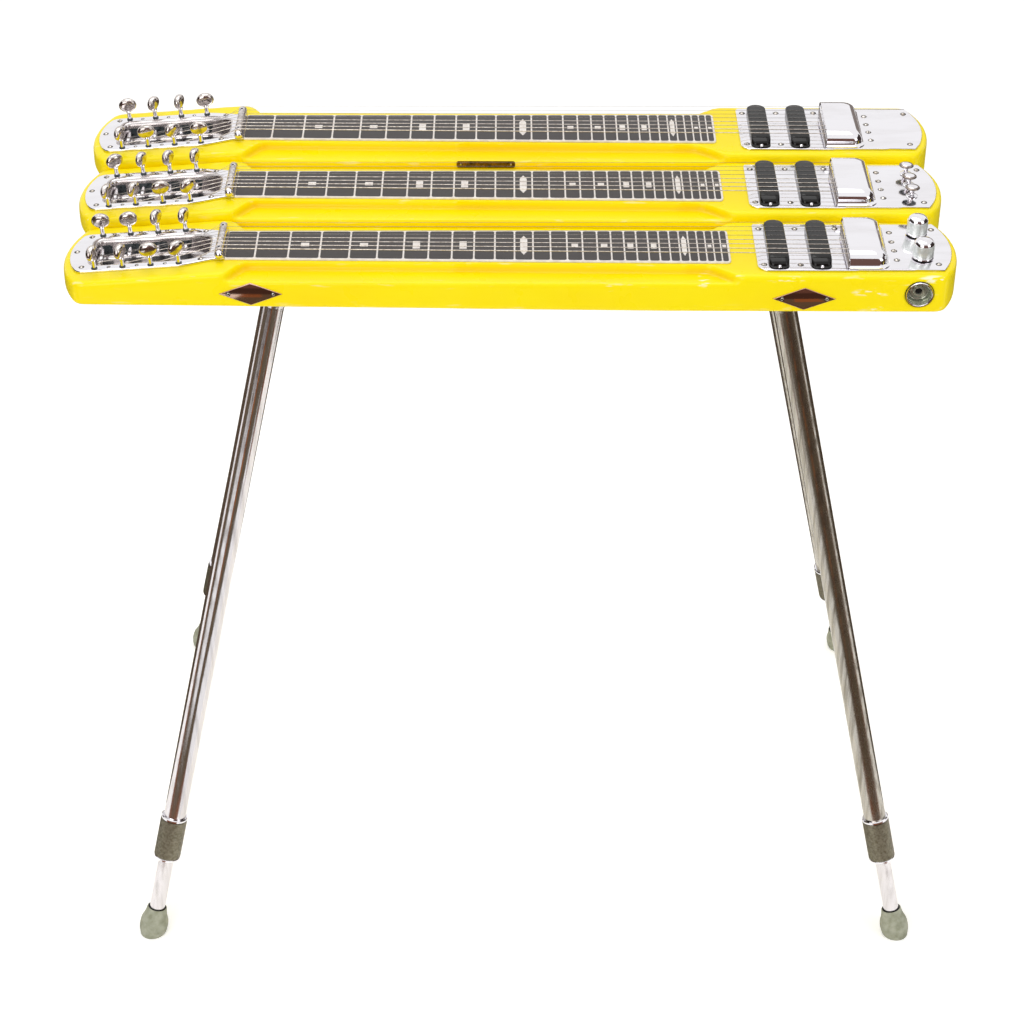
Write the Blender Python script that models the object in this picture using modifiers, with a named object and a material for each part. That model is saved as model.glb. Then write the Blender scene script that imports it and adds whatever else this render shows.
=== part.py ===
# Triple-neck console steel guitar on four telescoping legs.
# Metres, +Z up, +X along the necks from the heads to the bridges, +Y from the player's
# side to the back. The origin is on the floor, under the middle of the whole object.
import math

import bmesh
import bpy
from mathutils import Matrix, Vector

MM = 0.001

# Necks
NECKS = ("front", "middle", "rear")
NECK_PITCH = 108.0 * MM
NECK_GAP = 0.3 * MM
NECK_STEP = 7.0 * MM
BODY_WIDTH = NECK_PITCH - NECK_GAP
HALF_WIDTH = BODY_WIDTH / 2
BODY_THICK = 38.0 * MM
HEAD_THIN = 5.2 * MM
UNDERSIDE_FLAT_X = 400.0 * MM
END_BULGE = 30.0 * MM
END_CORNER = 12.0 * MM
TOP_EDGE_ROUND = 4.5 * MM
BOTTOM_EDGE_ROUND = 3.5 * MM
TOP_HEIGHT = 738.0 * MM
SEAT_GAP = 0.3 * MM
LAP = 1.0 * MM

# Scale and fretboard
SCALE_LENGTH = 571.5 * MM
FRETS = 29
BOARD_THICK = 2.5 * MM
BOARD_HALF_NUT = 26.0 * MM
BOARD_HALF_END = 30.2 * MM
BOARD_BORDER = 3.0 * MM
BOARD_CORNER = 4.0 * MM
BOARD_LENGTH = SCALE_LENGTH * (1 - 2 ** (-FRETS / 12)) + BOARD_BORDER

# Nut
NUT_RIGHT_X = 0.5 * MM
NUT_WIDE = 8.0 * MM
NUT_X = NUT_RIGHT_X - NUT_WIDE / 2
NUT_TOP = 11.6 * MM
NUT_OVERHANG = 4.0 * MM
NUT_HALF = BOARD_HALF_NUT + NUT_OVERHANG
NUT_BALL_RADIUS = 4.6 * MM
BOARD_START_X = NUT_RIGHT_X + 1.5 * MM

# Head, which slopes away from the nut
HEAD_CREASE_X = NUT_X - NUT_WIDE / 2 - 0.5 * MM
HEAD_TILT = math.radians(4.5)

# Tuner pan's trough, with the string posts that cross it
POST_RADIUS = 3.2 * MM
POST_DEPTH = 7.5 * MM
POST_INNER = 2.6 * MM
KEY_PITCH = 26.0 * MM
KEYS_A_SIDE = 4
TROUGH_RIGHT_X = NUT_X - NUT_WIDE / 2 - 8.5 * MM
KEY_FIRST_X = TROUGH_RIGHT_X - 24.5 * MM
KEY_LAST_X = KEY_FIRST_X - KEY_PITCH * (KEYS_A_SIDE - 1)
TROUGH_LEFT_X = KEY_LAST_X - POST_RADIUS - SEAT_GAP
TROUGH_HALF = 22.5 * MM
TROUGH_DEPTH = 17.0 * MM
TROUGH_WALL = 2.0 * MM
TROUGH_CORNER = 7.0 * MM

# Tuner keys
KEY_Y = TROUGH_HALF + TROUGH_WALL + 7.0 * MM
KEY_WIDE = 16.8 * MM
KEY_TALL = 14.5 * MM
KEY_THICK = 7.2 * MM
KEY_CENTRE_HEIGHT = KEY_TALL / 2 + 8.25 * MM
KEY_SHAFT_RADIUS = 2.1 * MM
KEY_SHAFT_DEPTH = 6.0 * MM
KEY_FERRULE_RADIUS = 4.6 * MM
KEY_FERRULE_HEIGHT = 2.2 * MM
KEY_HOLE_CLEAR = 0.6 * MM
KEY_TURNS_FAR = {"front": (80, 80, 5, 0), "middle": (85, 75, 80, 35), "rear": (10, 85, 75, 5)}
KEY_TURNS_NEAR = {"front": (40, 5, 80, 85), "middle": (40, 10, 75, 85), "rear": (5, 45, 10, 80)}

# Tuner pan's flange and gear rails, and the end of the head beyond them
GEAR_RAIL_HALF = KEY_Y + KEY_SHAFT_RADIUS + 2.0 * MM
GEAR_RAIL_DEPTH = 2 * KEY_SHAFT_DEPTH
PAN_LEFT_X = TROUGH_LEFT_X - 23.0 * MM
PAN_HALF = GEAR_RAIL_HALF + 1.9 * MM
PAN_HALF_NUT = NUT_HALF - 2.0 * MM
PAN_TAPER_START_X = KEY_FIRST_X - 3.5 * MM
PAN_RIGHT_X = NUT_RIGHT_X
PAN_PLATE = 2.2 * MM
PAN_END_BULGE = 10.0 * MM
PAN_CORNER = 9.0 * MM
POCKET_CLEAR = 0.6 * MM
HEAD_END_X = PAN_LEFT_X - 6.0 * MM

# Strings
STRINGS = 8
STRING_HEIGHT_NUT = NUT_TOP + 1.3 * MM
STRING_HEIGHT_BRIDGE = 11.4 * MM
STRING_PITCH_NUT = 7.0 * MM
STRING_PITCH_BRIDGE = 8.4 * MM
STRING_THIN = 0.32 * MM
STRING_THICK = 0.66 * MM
STRING_Y_AT_POST = (5.5 * MM, 9.5 * MM, 13.5 * MM, 17.5 * MM)

# Control plate
PLATE_HALF = HALF_WIDTH - 9.15 * MM
PLATE_THICK = 1.6 * MM
PLATE_CORNER = 10.0 * MM
PLATE_END_MARGIN = 5.5 * MM

# Bridge and its cover
SADDLE_X = SCALE_LENGTH + 3.5 * MM
SADDLE_RADIUS = 3.0 * MM
BRIDGE_BASE = (SADDLE_X - SADDLE_RADIUS, SADDLE_X + 29.0 * MM)
BRIDGE_BASE_HEIGHT = 4.0 * MM
TAIL_WALL = (BRIDGE_BASE[1] - 7.0 * MM, BRIDGE_BASE[1] - 3.0 * MM)
TAIL_TOP = STRING_HEIGHT_BRIDGE + 1.2 * MM
COVER_X = (BRIDGE_BASE[0] - 2.0 * MM, BRIDGE_BASE[1] + 7.0 * MM)
COVER_HALF = PLATE_HALF - 1.7 * MM
COVER_TOP = TAIL_TOP + 4.8 * MM
COVER_SHOULDER = 11.0 * MM
COVER_WALL = 1.3 * MM
BRIDGE_HALF = COVER_HALF - 8.0 * MM

# Pickups
PICKUP_WIDE = 22.0 * MM
PICKUP_GAP = 17.0 * MM
PICKUP_BRIDGE_X = BRIDGE_BASE[0] - 14.0 * MM - PICKUP_WIDE / 2
PICKUPS = {"neck": PICKUP_BRIDGE_X - PICKUP_GAP - PICKUP_WIDE, "bridge": PICKUP_BRIDGE_X}
PICKUP_HALF_LENGTH = 37.0 * MM
PICKUP_EAR_HALF_LENGTH = PICKUP_HALF_LENGTH + 6.5 * MM
PICKUP_TOP = STRING_HEIGHT_BRIDGE - 2.0 * MM
PICKUP_EAR_TOP = 4.2 * MM
PICKUP_DEPTH = 12.0 * MM
PICKUP_COIL_HALF = PICKUP_HALF_LENGTH - 4.0 * MM
PICKUP_COIL_WIDE = PICKUP_WIDE - 4.0 * MM
PICKUP_EDGE_ROUND = 1.6 * MM
PLATE_LEFT_X = PICKUPS["neck"] - PICKUP_WIDE / 2 - 8.0 * MM

# Controls
KNOB_X = COVER_X[1] + 31.0 * MM
KNOB_Y = {"volume_knob": -20.5 * MM, "tone_knob": 24.5 * MM}
KNOB_RADIUS = 10.0 * MM
KNOB_HEIGHT = 19.5 * MM
KNOB_LIFT = 1.0 * MM
KNOB_SHAFT_RADIUS = 3.0 * MM
KNOB_SHAFT_DEPTH = 9.0 * MM
POT_RADIUS = 12.0 * MM
POT_DEPTH = KNOB_SHAFT_DEPTH + 1.0 * MM
SELECTOR_X = COVER_X[1] + 34.0 * MM
SELECTOR_PITCH = 23.0 * MM
SELECTOR_MIDDLE_Y = 2.0 * MM
SELECTOR_Y = {"front_selector_button": SELECTOR_MIDDLE_Y - SELECTOR_PITCH,
              "middle_selector_button": SELECTOR_MIDDLE_Y,
              "rear_selector_button": SELECTOR_MIDDLE_Y + SELECTOR_PITCH}
SELECTOR_CAP_RADIUS = 7.0 * MM
SELECTOR_CAP_TOP = 11.0 * MM
SELECTOR_CAP_BOTTOM = 7.0 * MM
SELECTOR_STEM_RADIUS = 2.6 * MM
SELECTOR_STEM_DEPTH = 9.0 * MM
SHAFT_CLEAR = 0.35 * MM
SWITCH_HALF = (8.0 * MM, SELECTOR_PITCH + 11.0 * MM)
SWITCH_DEPTH = SELECTOR_STEM_DEPTH + 3.0 * MM

# Cavity under the control plate, and the end of the neck beyond it
CAVITY_LEFT_X = PICKUPS["neck"] - PICKUP_COIL_WIDE / 2 - 2.0 * MM
CAVITY_RIGHT_X = max(KNOB_X + POT_RADIUS, SELECTOR_X + SWITCH_HALF[0]) + 2.0 * MM
CAVITY_HALF = PLATE_HALF - 5.7 * MM
CAVITY_FLOOR = 12.0 * MM
CAVITY_DEPTH = BODY_THICK - CAVITY_FLOOR
CAVITY_CORNER = 8.0 * MM
TAIL_END_X = CAVITY_RIGHT_X + 20.0 * MM

# Scoops beside the fretboard
RAIL_LIP = 2.5 * MM
SCOOP_DEPTH = 8.0 * MM
SCOOP_COVE = 5.0 * MM
SCOOP_START_X = 22.0 * MM
SCOOP_RUN_HEAD = 26.0 * MM
SCOOP_RUN_TAIL = 40.0 * MM
SCOOP_END_X = PLATE_LEFT_X - 9.0 * MM - SCOOP_RUN_TAIL
SCOOP_OVERRUN = 12.0 * MM

# Output jack on the player's side
JACK_RIM_RADIUS = 13.2 * MM
JACK_CUP_RADIUS = JACK_RIM_RADIUS - 1.2 * MM
JACK_RIM_THICK = 1.2 * MM
JACK_CUP_DEPTH = 9.0 * MM
JACK_CUP_WALL = 1.4 * MM
JACK_BUSH_RADIUS = 7.0 * MM
JACK_BORE_RADIUS = 3.3 * MM
JACK_LENGTH = 30.0 * MM
JACK_X = KNOB_X - 5.5 * MM
JACK_DROP = CAVITY_DEPTH - JACK_BUSH_RADIUS - 0.9 * MM

# Bare plate on the rear neck's side
BADGE_CENTRE_X = 239.0 * MM
BADGE_SIZE = (57.0 * MM, 0.9 * MM, 7.0 * MM)
BADGE_LIFT = 0.2 * MM

# Legs
LEG_X = {"left": 45.7 * MM, "right": PLATE_LEFT_X + 26.5 * MM}
REAR_LEG_INBOARD = 9.0 * MM
LEG_SPLAY_X = math.radians(12.35)
LEG_SPLAY_Y = math.radians(11.0)
EXTENSION_RADIUS = 7.95 * MM
EXTENSION_WALL = 1.2 * MM
EXTENSION_CLEAR = 0.3 * MM
EXTENSION_SHOWN = 85.4 * MM
EXTENSION_INSIDE = 320.0 * MM
EXTENSION_RETRACT = 40.0 * MM
EXTENSION_END_CLEAR = 5.0 * MM
LEG_WALL = 2.85 * MM
LEG_RADIUS = EXTENSION_RADIUS + EXTENSION_CLEAR + LEG_WALL
LEG_BORE_DEPTH = EXTENSION_INSIDE + EXTENSION_RETRACT + EXTENSION_END_CLEAR
LEG_SLANT = math.sqrt(1 + math.tan(LEG_SPLAY_X) ** 2 + math.tan(LEG_SPLAY_Y) ** 2)
LEG_COLLAR_LENGTH = 49.0 * MM
LEG_COLLAR_RADIUS = LEG_RADIUS + 2.4 * MM
LEG_FLANGE_THICK = 3.0 * MM
LEG_BOSS_RADIUS = LEG_RADIUS + 1.6 * MM
LEG_BOSS_LENGTH = 26.0 * MM
LEG_FLANGE_RADIUS = LEG_BOSS_RADIUS + 14.3 * MM
FOOT_RADIUS = EXTENSION_RADIUS + 6.85 * MM
FOOT_LENGTH = 34.0 * MM

# Facets of round shapes
LARGE_SIDES = 24
TUBE_SIDES = 12
SMALL_SIDES = 8
KEY_SIDES = 6


def clear_scene():
    """Remove whatever the new file holds and make the part's collections."""
    for item in list(bpy.data.objects):
        bpy.data.objects.remove(item, do_unlink=True)
    part = bpy.data.collections.new("triple_neck_console_steel_guitar")
    bpy.context.scene.collection.children.link(part)
    return part


def paint(name, colour, roughness, metallic):
    """A plain material in the part's own colour."""
    material = bpy.data.materials.new(name)
    material.use_nodes = True
    shader = material.node_tree.nodes["Principled BSDF"]
    shader.inputs["Base Color"].default_value = (*colour, 1.0)
    shader.inputs["Roughness"].default_value = roughness
    shader.inputs["Metallic"].default_value = metallic
    material.diffuse_color = (*colour, 1.0)
    return material


def temporary(mesh):
    """A working object that never reaches the part's collection."""
    item = bpy.data.objects.new("work", mesh)
    item.hide_render = True
    item.display_type = "WIRE"
    bpy.context.scene.collection.objects.link(item)
    return item


def finished(item):
    """The object's mesh with its modifiers applied; the object itself goes."""
    bpy.context.view_layer.update()
    graph = bpy.context.evaluated_depsgraph_get()
    mesh = bpy.data.meshes.new_from_object(item.evaluated_get(graph))
    bpy.data.objects.remove(item, do_unlink=True)
    return mesh


def tidy(mesh, merge=1e-6):
    """Weld loose seams, join coplanar faces and turn the faces outwards."""
    shape = bmesh.new()
    shape.from_mesh(mesh)
    bmesh.ops.remove_doubles(shape, verts=shape.verts, dist=merge)
    bmesh.ops.dissolve_limit(shape, angle_limit=math.radians(0.5), verts=shape.verts, edges=shape.edges)
    bmesh.ops.recalc_face_normals(shape, faces=shape.faces)
    shape.to_mesh(mesh)
    shape.free()
    return mesh


def combine(mesh, others, operation):
    """Boolean a mesh with others, one after another."""
    for other in others:
        host = temporary(mesh)
        tool = temporary(other)
        step = host.modifiers.new("combine", "BOOLEAN")
        step.operation = operation
        step.object = tool
        mesh = finished(host)
        bpy.data.objects.remove(tool, do_unlink=True)
    return mesh


def cut(mesh, *others):
    return combine(mesh, others, "DIFFERENCE")


def join(mesh, *others):
    return combine(mesh, others, "UNION")


def moved(mesh, matrix):
    mesh.transform(matrix)
    return mesh


def shifted(mesh, x=0.0, y=0.0, z=0.0):
    return moved(mesh, Matrix.Translation((x, y, z)))


def plate(outlines, bottom, top):
    """A flat outline, with any holes in it, given a thickness."""
    curve = bpy.data.curves.new("outline", "CURVE")
    curve.dimensions = "2D"
    curve.fill_mode = "BOTH"
    curve.extrude = (top - bottom) / 2
    for outline in outlines:
        spline = curve.splines.new("POLY")
        spline.points.add(len(outline) - 1)
        for point, (x, y) in zip(spline.points, outline):
            point.co = (x, y, 0.0, 1.0)
        spline.use_cyclic_u = True
    mesh = finished(temporary(curve))
    return shifted(tidy(mesh), z=(top + bottom) / 2)


def turned(profile, steps):
    """A turned shape about Z from a profile of (radius, height), top first."""
    mesh = bpy.data.meshes.new("profile")
    points = [(radius, 0.0, height) for radius, height in profile]
    mesh.from_pydata(points, [(i, i + 1) for i in range(len(points) - 1)], [])
    item = temporary(mesh)
    screw = item.modifiers.new("turn", "SCREW")
    screw.steps = steps
    screw.render_steps = steps
    screw.use_merge_vertices = True
    screw.merge_threshold = 1e-6
    screw.use_smooth_shade = False
    return tidy(finished(item))


def tube(points, radius, resolution=1):
    """A wire or rod along a line of points."""
    curve = bpy.data.curves.new("wire", "CURVE")
    curve.dimensions = "3D"
    curve.bevel_depth = radius
    curve.bevel_resolution = resolution
    curve.use_fill_caps = True
    spline = curve.splines.new("POLY")
    spline.points.add(len(points) - 1)
    for point, place in zip(spline.points, points):
        point.co = (*place, 1.0)
    return tidy(finished(temporary(curve)))


def cylinder(radius, bottom, top, sides=LARGE_SIDES):
    return turned([(0.0, top), (radius, top), (radius, bottom), (0.0, bottom)], sides)


def box(low, high):
    shape = bmesh.new()
    bmesh.ops.create_cube(shape, size=1.0)
    size = Vector(high) - Vector(low)
    middle = (Vector(high) + Vector(low)) / 2
    bmesh.ops.scale(shape, vec=size, verts=shape.verts)
    bmesh.ops.translate(shape, vec=middle, verts=shape.verts)
    mesh = bpy.data.meshes.new("box")
    shape.to_mesh(mesh)
    shape.free()
    return mesh


def rounded(mesh, chosen, radius, segments):
    """Round the edges that the test picks; it reads an edge's two face normals and middle."""
    shape = bmesh.new()
    shape.from_mesh(mesh)
    shape.normal_update()
    picked = []
    for edge in shape.edges:
        if len(edge.link_faces) != 2:
            continue
        middle = (edge.verts[0].co + edge.verts[1].co) / 2
        if chosen(edge.link_faces[0].normal, edge.link_faces[1].normal, middle):
            picked.append(edge)
    bmesh.ops.bevel(shape, geom=picked, offset=radius, offset_type="OFFSET", segments=segments,
                    profile=0.5, affect="EDGES", clamp_overlap=False)
    shape.to_mesh(mesh)
    shape.free()
    return mesh


def arc(centre_x, centre_y, radius, start, end, steps):
    """Points on an arc; the angles are in degrees."""
    points = []
    for i in range(steps + 1):
        angle = math.radians(start + (end - start) * i / steps)
        points.append((centre_x + radius * math.cos(angle), centre_y + radius * math.sin(angle)))
    return points


def rounded_rectangle(x0, x1, half, corner, steps=4):
    return (arc(x1 - corner, -half + corner, corner, -90, 0, steps)
            + arc(x1 - corner, half - corner, corner, 0, 90, steps)
            + arc(x0 + corner, half - corner, corner, 90, 180, steps)
            + arc(x0 + corner, -half + corner, corner, 180, 270, steps))


def bulged_end(tip_x, half, bulge, corner, direction, steps):
    """One rounded end of an outline: a wide arc that runs into its sides through small arcs."""
    radius = (half * half + bulge * bulge) / (2 * bulge)
    centre_x = tip_x - direction * radius
    reach = math.sqrt((radius - corner) ** 2 - (half - corner) ** 2)
    corner_x = centre_x + direction * reach
    meet = math.degrees(math.atan2(half - corner, reach))
    small = max(2, steps // 4)
    lower = arc(corner_x, -half + corner, corner, -90, -meet, small)
    wide = arc(centre_x, 0.0, radius, -meet, meet, steps)[1:-1]
    upper = arc(corner_x, half - corner, corner, meet, 90, small)
    points = lower + wide + upper
    if direction > 0:
        return points
    return [(2 * centre_x - x, y) for x, y in
            arc(2 * centre_x - corner_x, half - corner, corner, 90, meet, small)
            + arc(centre_x, 0.0, radius, meet, -meet, steps)[1:-1]
            + arc(2 * centre_x - corner_x, -half + corner, corner, -meet, -90, small)]


def head_frame():
    """From the sloping head's own frame to the neck's."""
    slope = Matrix.Rotation(-HEAD_TILT, 4, "Y")
    return Matrix.Translation((HEAD_CREASE_X, 0.0, 0.0)) @ slope @ Matrix.Translation((-HEAD_CREASE_X, 0.0, 0.0))


def board_half(x):
    """Half the fretboard's width at a place along it."""
    return BOARD_HALF_NUT + (BOARD_HALF_END - BOARD_HALF_NUT) * x / BOARD_LENGTH


def smooth_step(t):
    return t * t * (3 - 2 * t)


def scoop_cutter(side):
    """What is carved away beside the fretboard: a ledge with a coved inner wall."""
    steps = 6
    inner = []
    for i in range(steps + 1):
        t = 1 - i / steps
        x = SCOOP_START_X - SCOOP_RUN_HEAD * t
        wall = board_half(SCOOP_START_X) + RAIL_LIP
        inner.append((x, wall + (HALF_WIDTH - wall + LAP) * smooth_step(t)))
    for i in range(steps + 1):
        t = i / steps
        x = SCOOP_END_X + SCOOP_RUN_TAIL * t
        wall = board_half(SCOOP_END_X) + RAIL_LIP
        inner.append((x, wall + (HALF_WIDTH - wall + LAP) * smooth_step(t)))
    outer_y = HALF_WIDTH + SCOOP_OVERRUN
    outline = inner + [(inner[-1][0], outer_y), (inner[0][0], outer_y)]
    cutter = plate([[(x, side * y) for x, y in outline]], -SCOOP_DEPTH, SCOOP_OVERRUN)

    def lower_inner_edge(first, second, middle):
        flat = min(first.z, second.z) < -0.9 and max(first.z, second.z) > -0.5
        return flat and abs(middle.y) < outer_y - LAP

    return tidy(rounded(cutter, lower_inner_edge, SCOOP_COVE, 2))


def neck_outline():
    return (bulged_end(TAIL_END_X, HALF_WIDTH, END_BULGE, END_CORNER, 1, 8)
            + bulged_end(HEAD_END_X, HALF_WIDTH, END_BULGE, END_CORNER, -1, 8))


def underside(x):
    """The underside's height at a place along a neck: the block thins towards the head."""
    share = max(0.0, (UNDERSIDE_FLAT_X - x) / (UNDERSIDE_FLAT_X - HEAD_END_X))
    return HEAD_THIN * share - BODY_THICK


def body_blank():
    """The neck's block before it is carved: bulged ends, a sloping head, rounded edges."""
    mesh = plate([neck_outline()], -BODY_THICK, 0.0)
    shape = bmesh.new()
    shape.from_mesh(mesh)
    for x in (HEAD_CREASE_X, UNDERSIDE_FLAT_X):
        bmesh.ops.bisect_plane(shape, geom=list(shape.verts) + list(shape.edges) + list(shape.faces),
                               plane_co=(x, 0.0, 0.0), plane_no=(1.0, 0.0, 0.0))
    for vertex in shape.verts:
        if vertex.co.z < -LAP:
            vertex.co.z = underside(vertex.co.x)
        if vertex.co.z > -LAP and vertex.co.x < HEAD_CREASE_X:
            vertex.co.z -= (HEAD_CREASE_X - vertex.co.x) * math.tan(HEAD_TILT)
    shape.to_mesh(mesh)
    shape.free()

    def top_rim(first, second, middle):
        return max(first.z, second.z) > 0.9 and min(first.z, second.z) < 0.3

    def bottom_rim(first, second, middle):
        return min(first.z, second.z) < -0.9 and max(first.z, second.z) > -0.3

    rounded(mesh, top_rim, TOP_EDGE_ROUND, 2)
    return rounded(mesh, bottom_rim, BOTTOM_EDGE_ROUND, 2)


def pan_pocket():
    """The hollow in the head that the tuner pan drops into."""
    reach = GEAR_RAIL_HALF + POCKET_CLEAR
    outline = rounded_rectangle(TROUGH_LEFT_X - TROUGH_WALL - POCKET_CLEAR,
                                TROUGH_RIGHT_X + TROUGH_WALL + POCKET_CLEAR, reach,
                                TROUGH_CORNER + POCKET_CLEAR, 3)
    depth = TROUGH_DEPTH + TROUGH_WALL + POCKET_CLEAR
    return moved(plate([outline], -depth, SCOOP_OVERRUN), head_frame())


def control_cavity():
    """The hollow under the control plate, for the pickups and the wiring."""
    outline = rounded_rectangle(CAVITY_LEFT_X, CAVITY_RIGHT_X, CAVITY_HALF, CAVITY_CORNER, 3)
    return plate([outline], -CAVITY_DEPTH, SCOOP_OVERRUN)


def jack_frame():
    """The jack's axis: its mouth faces the player."""
    return Matrix.Translation((JACK_X, -HALF_WIDTH, -JACK_DROP)) @ Matrix.Rotation(math.pi / 2, 4, "X")


def body(with_jack):
    mesh = cut(body_blank(), scoop_cutter(1), scoop_cutter(-1), pan_pocket(), control_cavity())
    if with_jack:
        depth = HALF_WIDTH - CAVITY_HALF + LAP
        mesh = cut(mesh, moved(cylinder(JACK_CUP_RADIUS + SEAT_GAP, -depth, LAP, 32), jack_frame()))
    return mesh


def fretboard():
    """A thin tapering board with rounded corners at its bridge end."""
    half = board_half(BOARD_LENGTH)
    lower = arc(BOARD_LENGTH - BOARD_CORNER, -half + BOARD_CORNER, BOARD_CORNER, -90, 0, 4)
    upper = arc(BOARD_LENGTH - BOARD_CORNER, half - BOARD_CORNER, BOARD_CORNER, 0, 90, 4)
    start = board_half(BOARD_START_X)
    outline = lower + upper + [(BOARD_START_X, start), (BOARD_START_X, -start)]
    return plate([outline], SEAT_GAP, BOARD_THICK)


def key_places():
    """Each tuner key's (x, y) in the head's frame, far side first, from the nut outwards."""
    places = []
    for side in (1, -1):
        for i in range(KEYS_A_SIDE):
            places.append((KEY_FIRST_X - KEY_PITCH * i, side * KEY_Y))
    return places


def pan_plate_outline():
    """The pan's flange: a bulged end, straight sides, and a taper towards the nut."""
    end = bulged_end(PAN_LEFT_X, PAN_HALF, PAN_END_BULGE, PAN_CORNER, -1, 8)
    steps = 6
    lower = []
    for i in range(steps + 1):
        t = i / steps
        x = PAN_TAPER_START_X + (PAN_RIGHT_X - PAN_TAPER_START_X) * t
        lower.append((x, -(PAN_HALF + (PAN_HALF_NUT - PAN_HALF) * smooth_step(t))))
    return end + lower + [(x, -y) for x, y in reversed(lower)]


def string_post(x, side, inner):
    """A cross post that a string winds on, from the trough's wall inwards."""
    post = cylinder(POST_RADIUS, 0.0, TROUGH_HALF + LAP - inner, KEY_SIDES)
    turn = Matrix.Rotation(-side * math.pi / 2, 4, "X")
    return moved(post, Matrix.Translation((x, side * inner, -POST_DEPTH)) @ turn)


def nut_bar():
    """The cast nut: a tall bar with a rounded top and ball ends."""
    radius = NUT_WIDE / 2
    profile = arc(0.0, NUT_TOP - radius, radius, 0, 180, 5) + [(-radius, LAP), (radius, LAP)]
    bar = plate([profile], -NUT_HALF, NUT_HALF)
    bar = moved(bar, Matrix.Translation((NUT_X, 0.0, 0.0)) @ Matrix.Rotation(math.pi / 2, 4, "X"))
    for side in (1, -1):
        ball = bmesh.new()
        bmesh.ops.create_uvsphere(ball, u_segments=SMALL_SIDES, v_segments=6, radius=NUT_BALL_RADIUS)
        mesh = bpy.data.meshes.new("ball")
        ball.to_mesh(mesh)
        ball.free()
        height = NUT_TOP - radius - LAP
        bar = join(bar, shifted(mesh, NUT_X, side * NUT_HALF, height))
    return bar


def tuner_pan():
    """The tuner pan: flange, sunken trough, the two gear rails, string posts and nut."""
    top = SEAT_GAP + PAN_PLATE
    floor = -TROUGH_DEPTH - TROUGH_WALL
    shell = plate([rounded_rectangle(TROUGH_LEFT_X - TROUGH_WALL, TROUGH_RIGHT_X + TROUGH_WALL,
                                     TROUGH_HALF + TROUGH_WALL, TROUGH_CORNER, 2)], floor, top - LAP)
    rails = plate([rounded_rectangle(TROUGH_LEFT_X - TROUGH_WALL, TROUGH_RIGHT_X + TROUGH_WALL,
                                     GEAR_RAIL_HALF, TROUGH_CORNER, 2)], -GEAR_RAIL_DEPTH, top - LAP / 2)
    flange = plate([pan_plate_outline()], SEAT_GAP, top)
    hollow = plate([rounded_rectangle(TROUGH_LEFT_X, TROUGH_RIGHT_X, TROUGH_HALF, TROUGH_CORNER, 3)],
                   -TROUGH_DEPTH, SCOOP_OVERRUN)
    pan = cut(join(shell, rails, flange), hollow)
    for side in (1, -1):
        for i in range(KEYS_A_SIDE):
            inner = STRING_Y_AT_POST[KEYS_A_SIDE - 1 - i] - POST_INNER
            pan = join(pan, string_post(KEY_FIRST_X - KEY_PITCH * i, side, inner))
    hole = KEY_SHAFT_RADIUS + KEY_HOLE_CLEAR
    for x, y in key_places():
        depth = KEY_SHAFT_DEPTH + LAP
        pan = cut(pan, shifted(cylinder(hole, -depth, SCOOP_OVERRUN, KEY_SIDES), x, y))
    return moved(join(pan, nut_bar()), head_frame())


def tuner_key():
    """A key: an oval button on a shaft, with a ferrule that turns on the pan's flange."""
    top = SEAT_GAP + PAN_PLATE
    button = bmesh.new()
    bmesh.ops.create_uvsphere(button, u_segments=SMALL_SIDES, v_segments=4, radius=0.5)
    bmesh.ops.scale(button, vec=(KEY_WIDE, KEY_THICK, KEY_TALL), verts=button.verts)
    bmesh.ops.translate(button, vec=(0.0, 0.0, top + KEY_CENTRE_HEIGHT), verts=button.verts)
    mesh = bpy.data.meshes.new("button")
    button.to_mesh(mesh)
    button.free()
    low = top + SEAT_GAP
    stem = turned([(0.0, top + KEY_CENTRE_HEIGHT - KEY_TALL / 4),
                   (KEY_SHAFT_RADIUS, top + KEY_CENTRE_HEIGHT - KEY_TALL / 4),
                   (KEY_SHAFT_RADIUS, low + KEY_FERRULE_HEIGHT),
                   (KEY_FERRULE_RADIUS, low),
                   (KEY_SHAFT_RADIUS, low),
                   (KEY_SHAFT_RADIUS, -KEY_SHAFT_DEPTH), (0.0, -KEY_SHAFT_DEPTH)], KEY_SIDES)
    return join(mesh, stem)


def string_line(index):
    """The points that one string follows: tail wall, saddle, nut, and its post in the pan."""
    place = index - (STRINGS - 1) / 2
    side = 1 if place > 0 else -1
    rank = int(abs(place))
    x_post = KEY_FIRST_X - KEY_PITCH * (KEYS_A_SIDE - 1 - rank)
    radius = string_radius(index)
    post = Vector((x_post, side * STRING_Y_AT_POST[rank], -POST_DEPTH + POST_RADIUS + SEAT_GAP + radius))
    post = head_frame() @ post
    nut = Vector((NUT_X, place * STRING_PITCH_NUT, STRING_HEIGHT_NUT + radius))
    saddle = Vector((SADDLE_X, place * STRING_PITCH_BRIDGE, STRING_HEIGHT_BRIDGE + radius))
    tail = Vector((sum(TAIL_WALL) / 2, place * STRING_PITCH_BRIDGE, TAIL_TOP - 2 * LAP))
    return [tail, saddle, nut, post]


def string_radius(index):
    """Strings thicken towards the player."""
    return STRING_THIN + (STRING_THICK - STRING_THIN) * (STRINGS - 1 - index) / (STRINGS - 1)


def pickup_hole(x):
    return rounded_rectangle(x - PICKUP_COIL_WIDE / 2 - SHAFT_CLEAR, x + PICKUP_COIL_WIDE / 2 + SHAFT_CLEAR,
                             PICKUP_COIL_HALF + SHAFT_CLEAR, PICKUP_COIL_WIDE / 2, 3)


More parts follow.
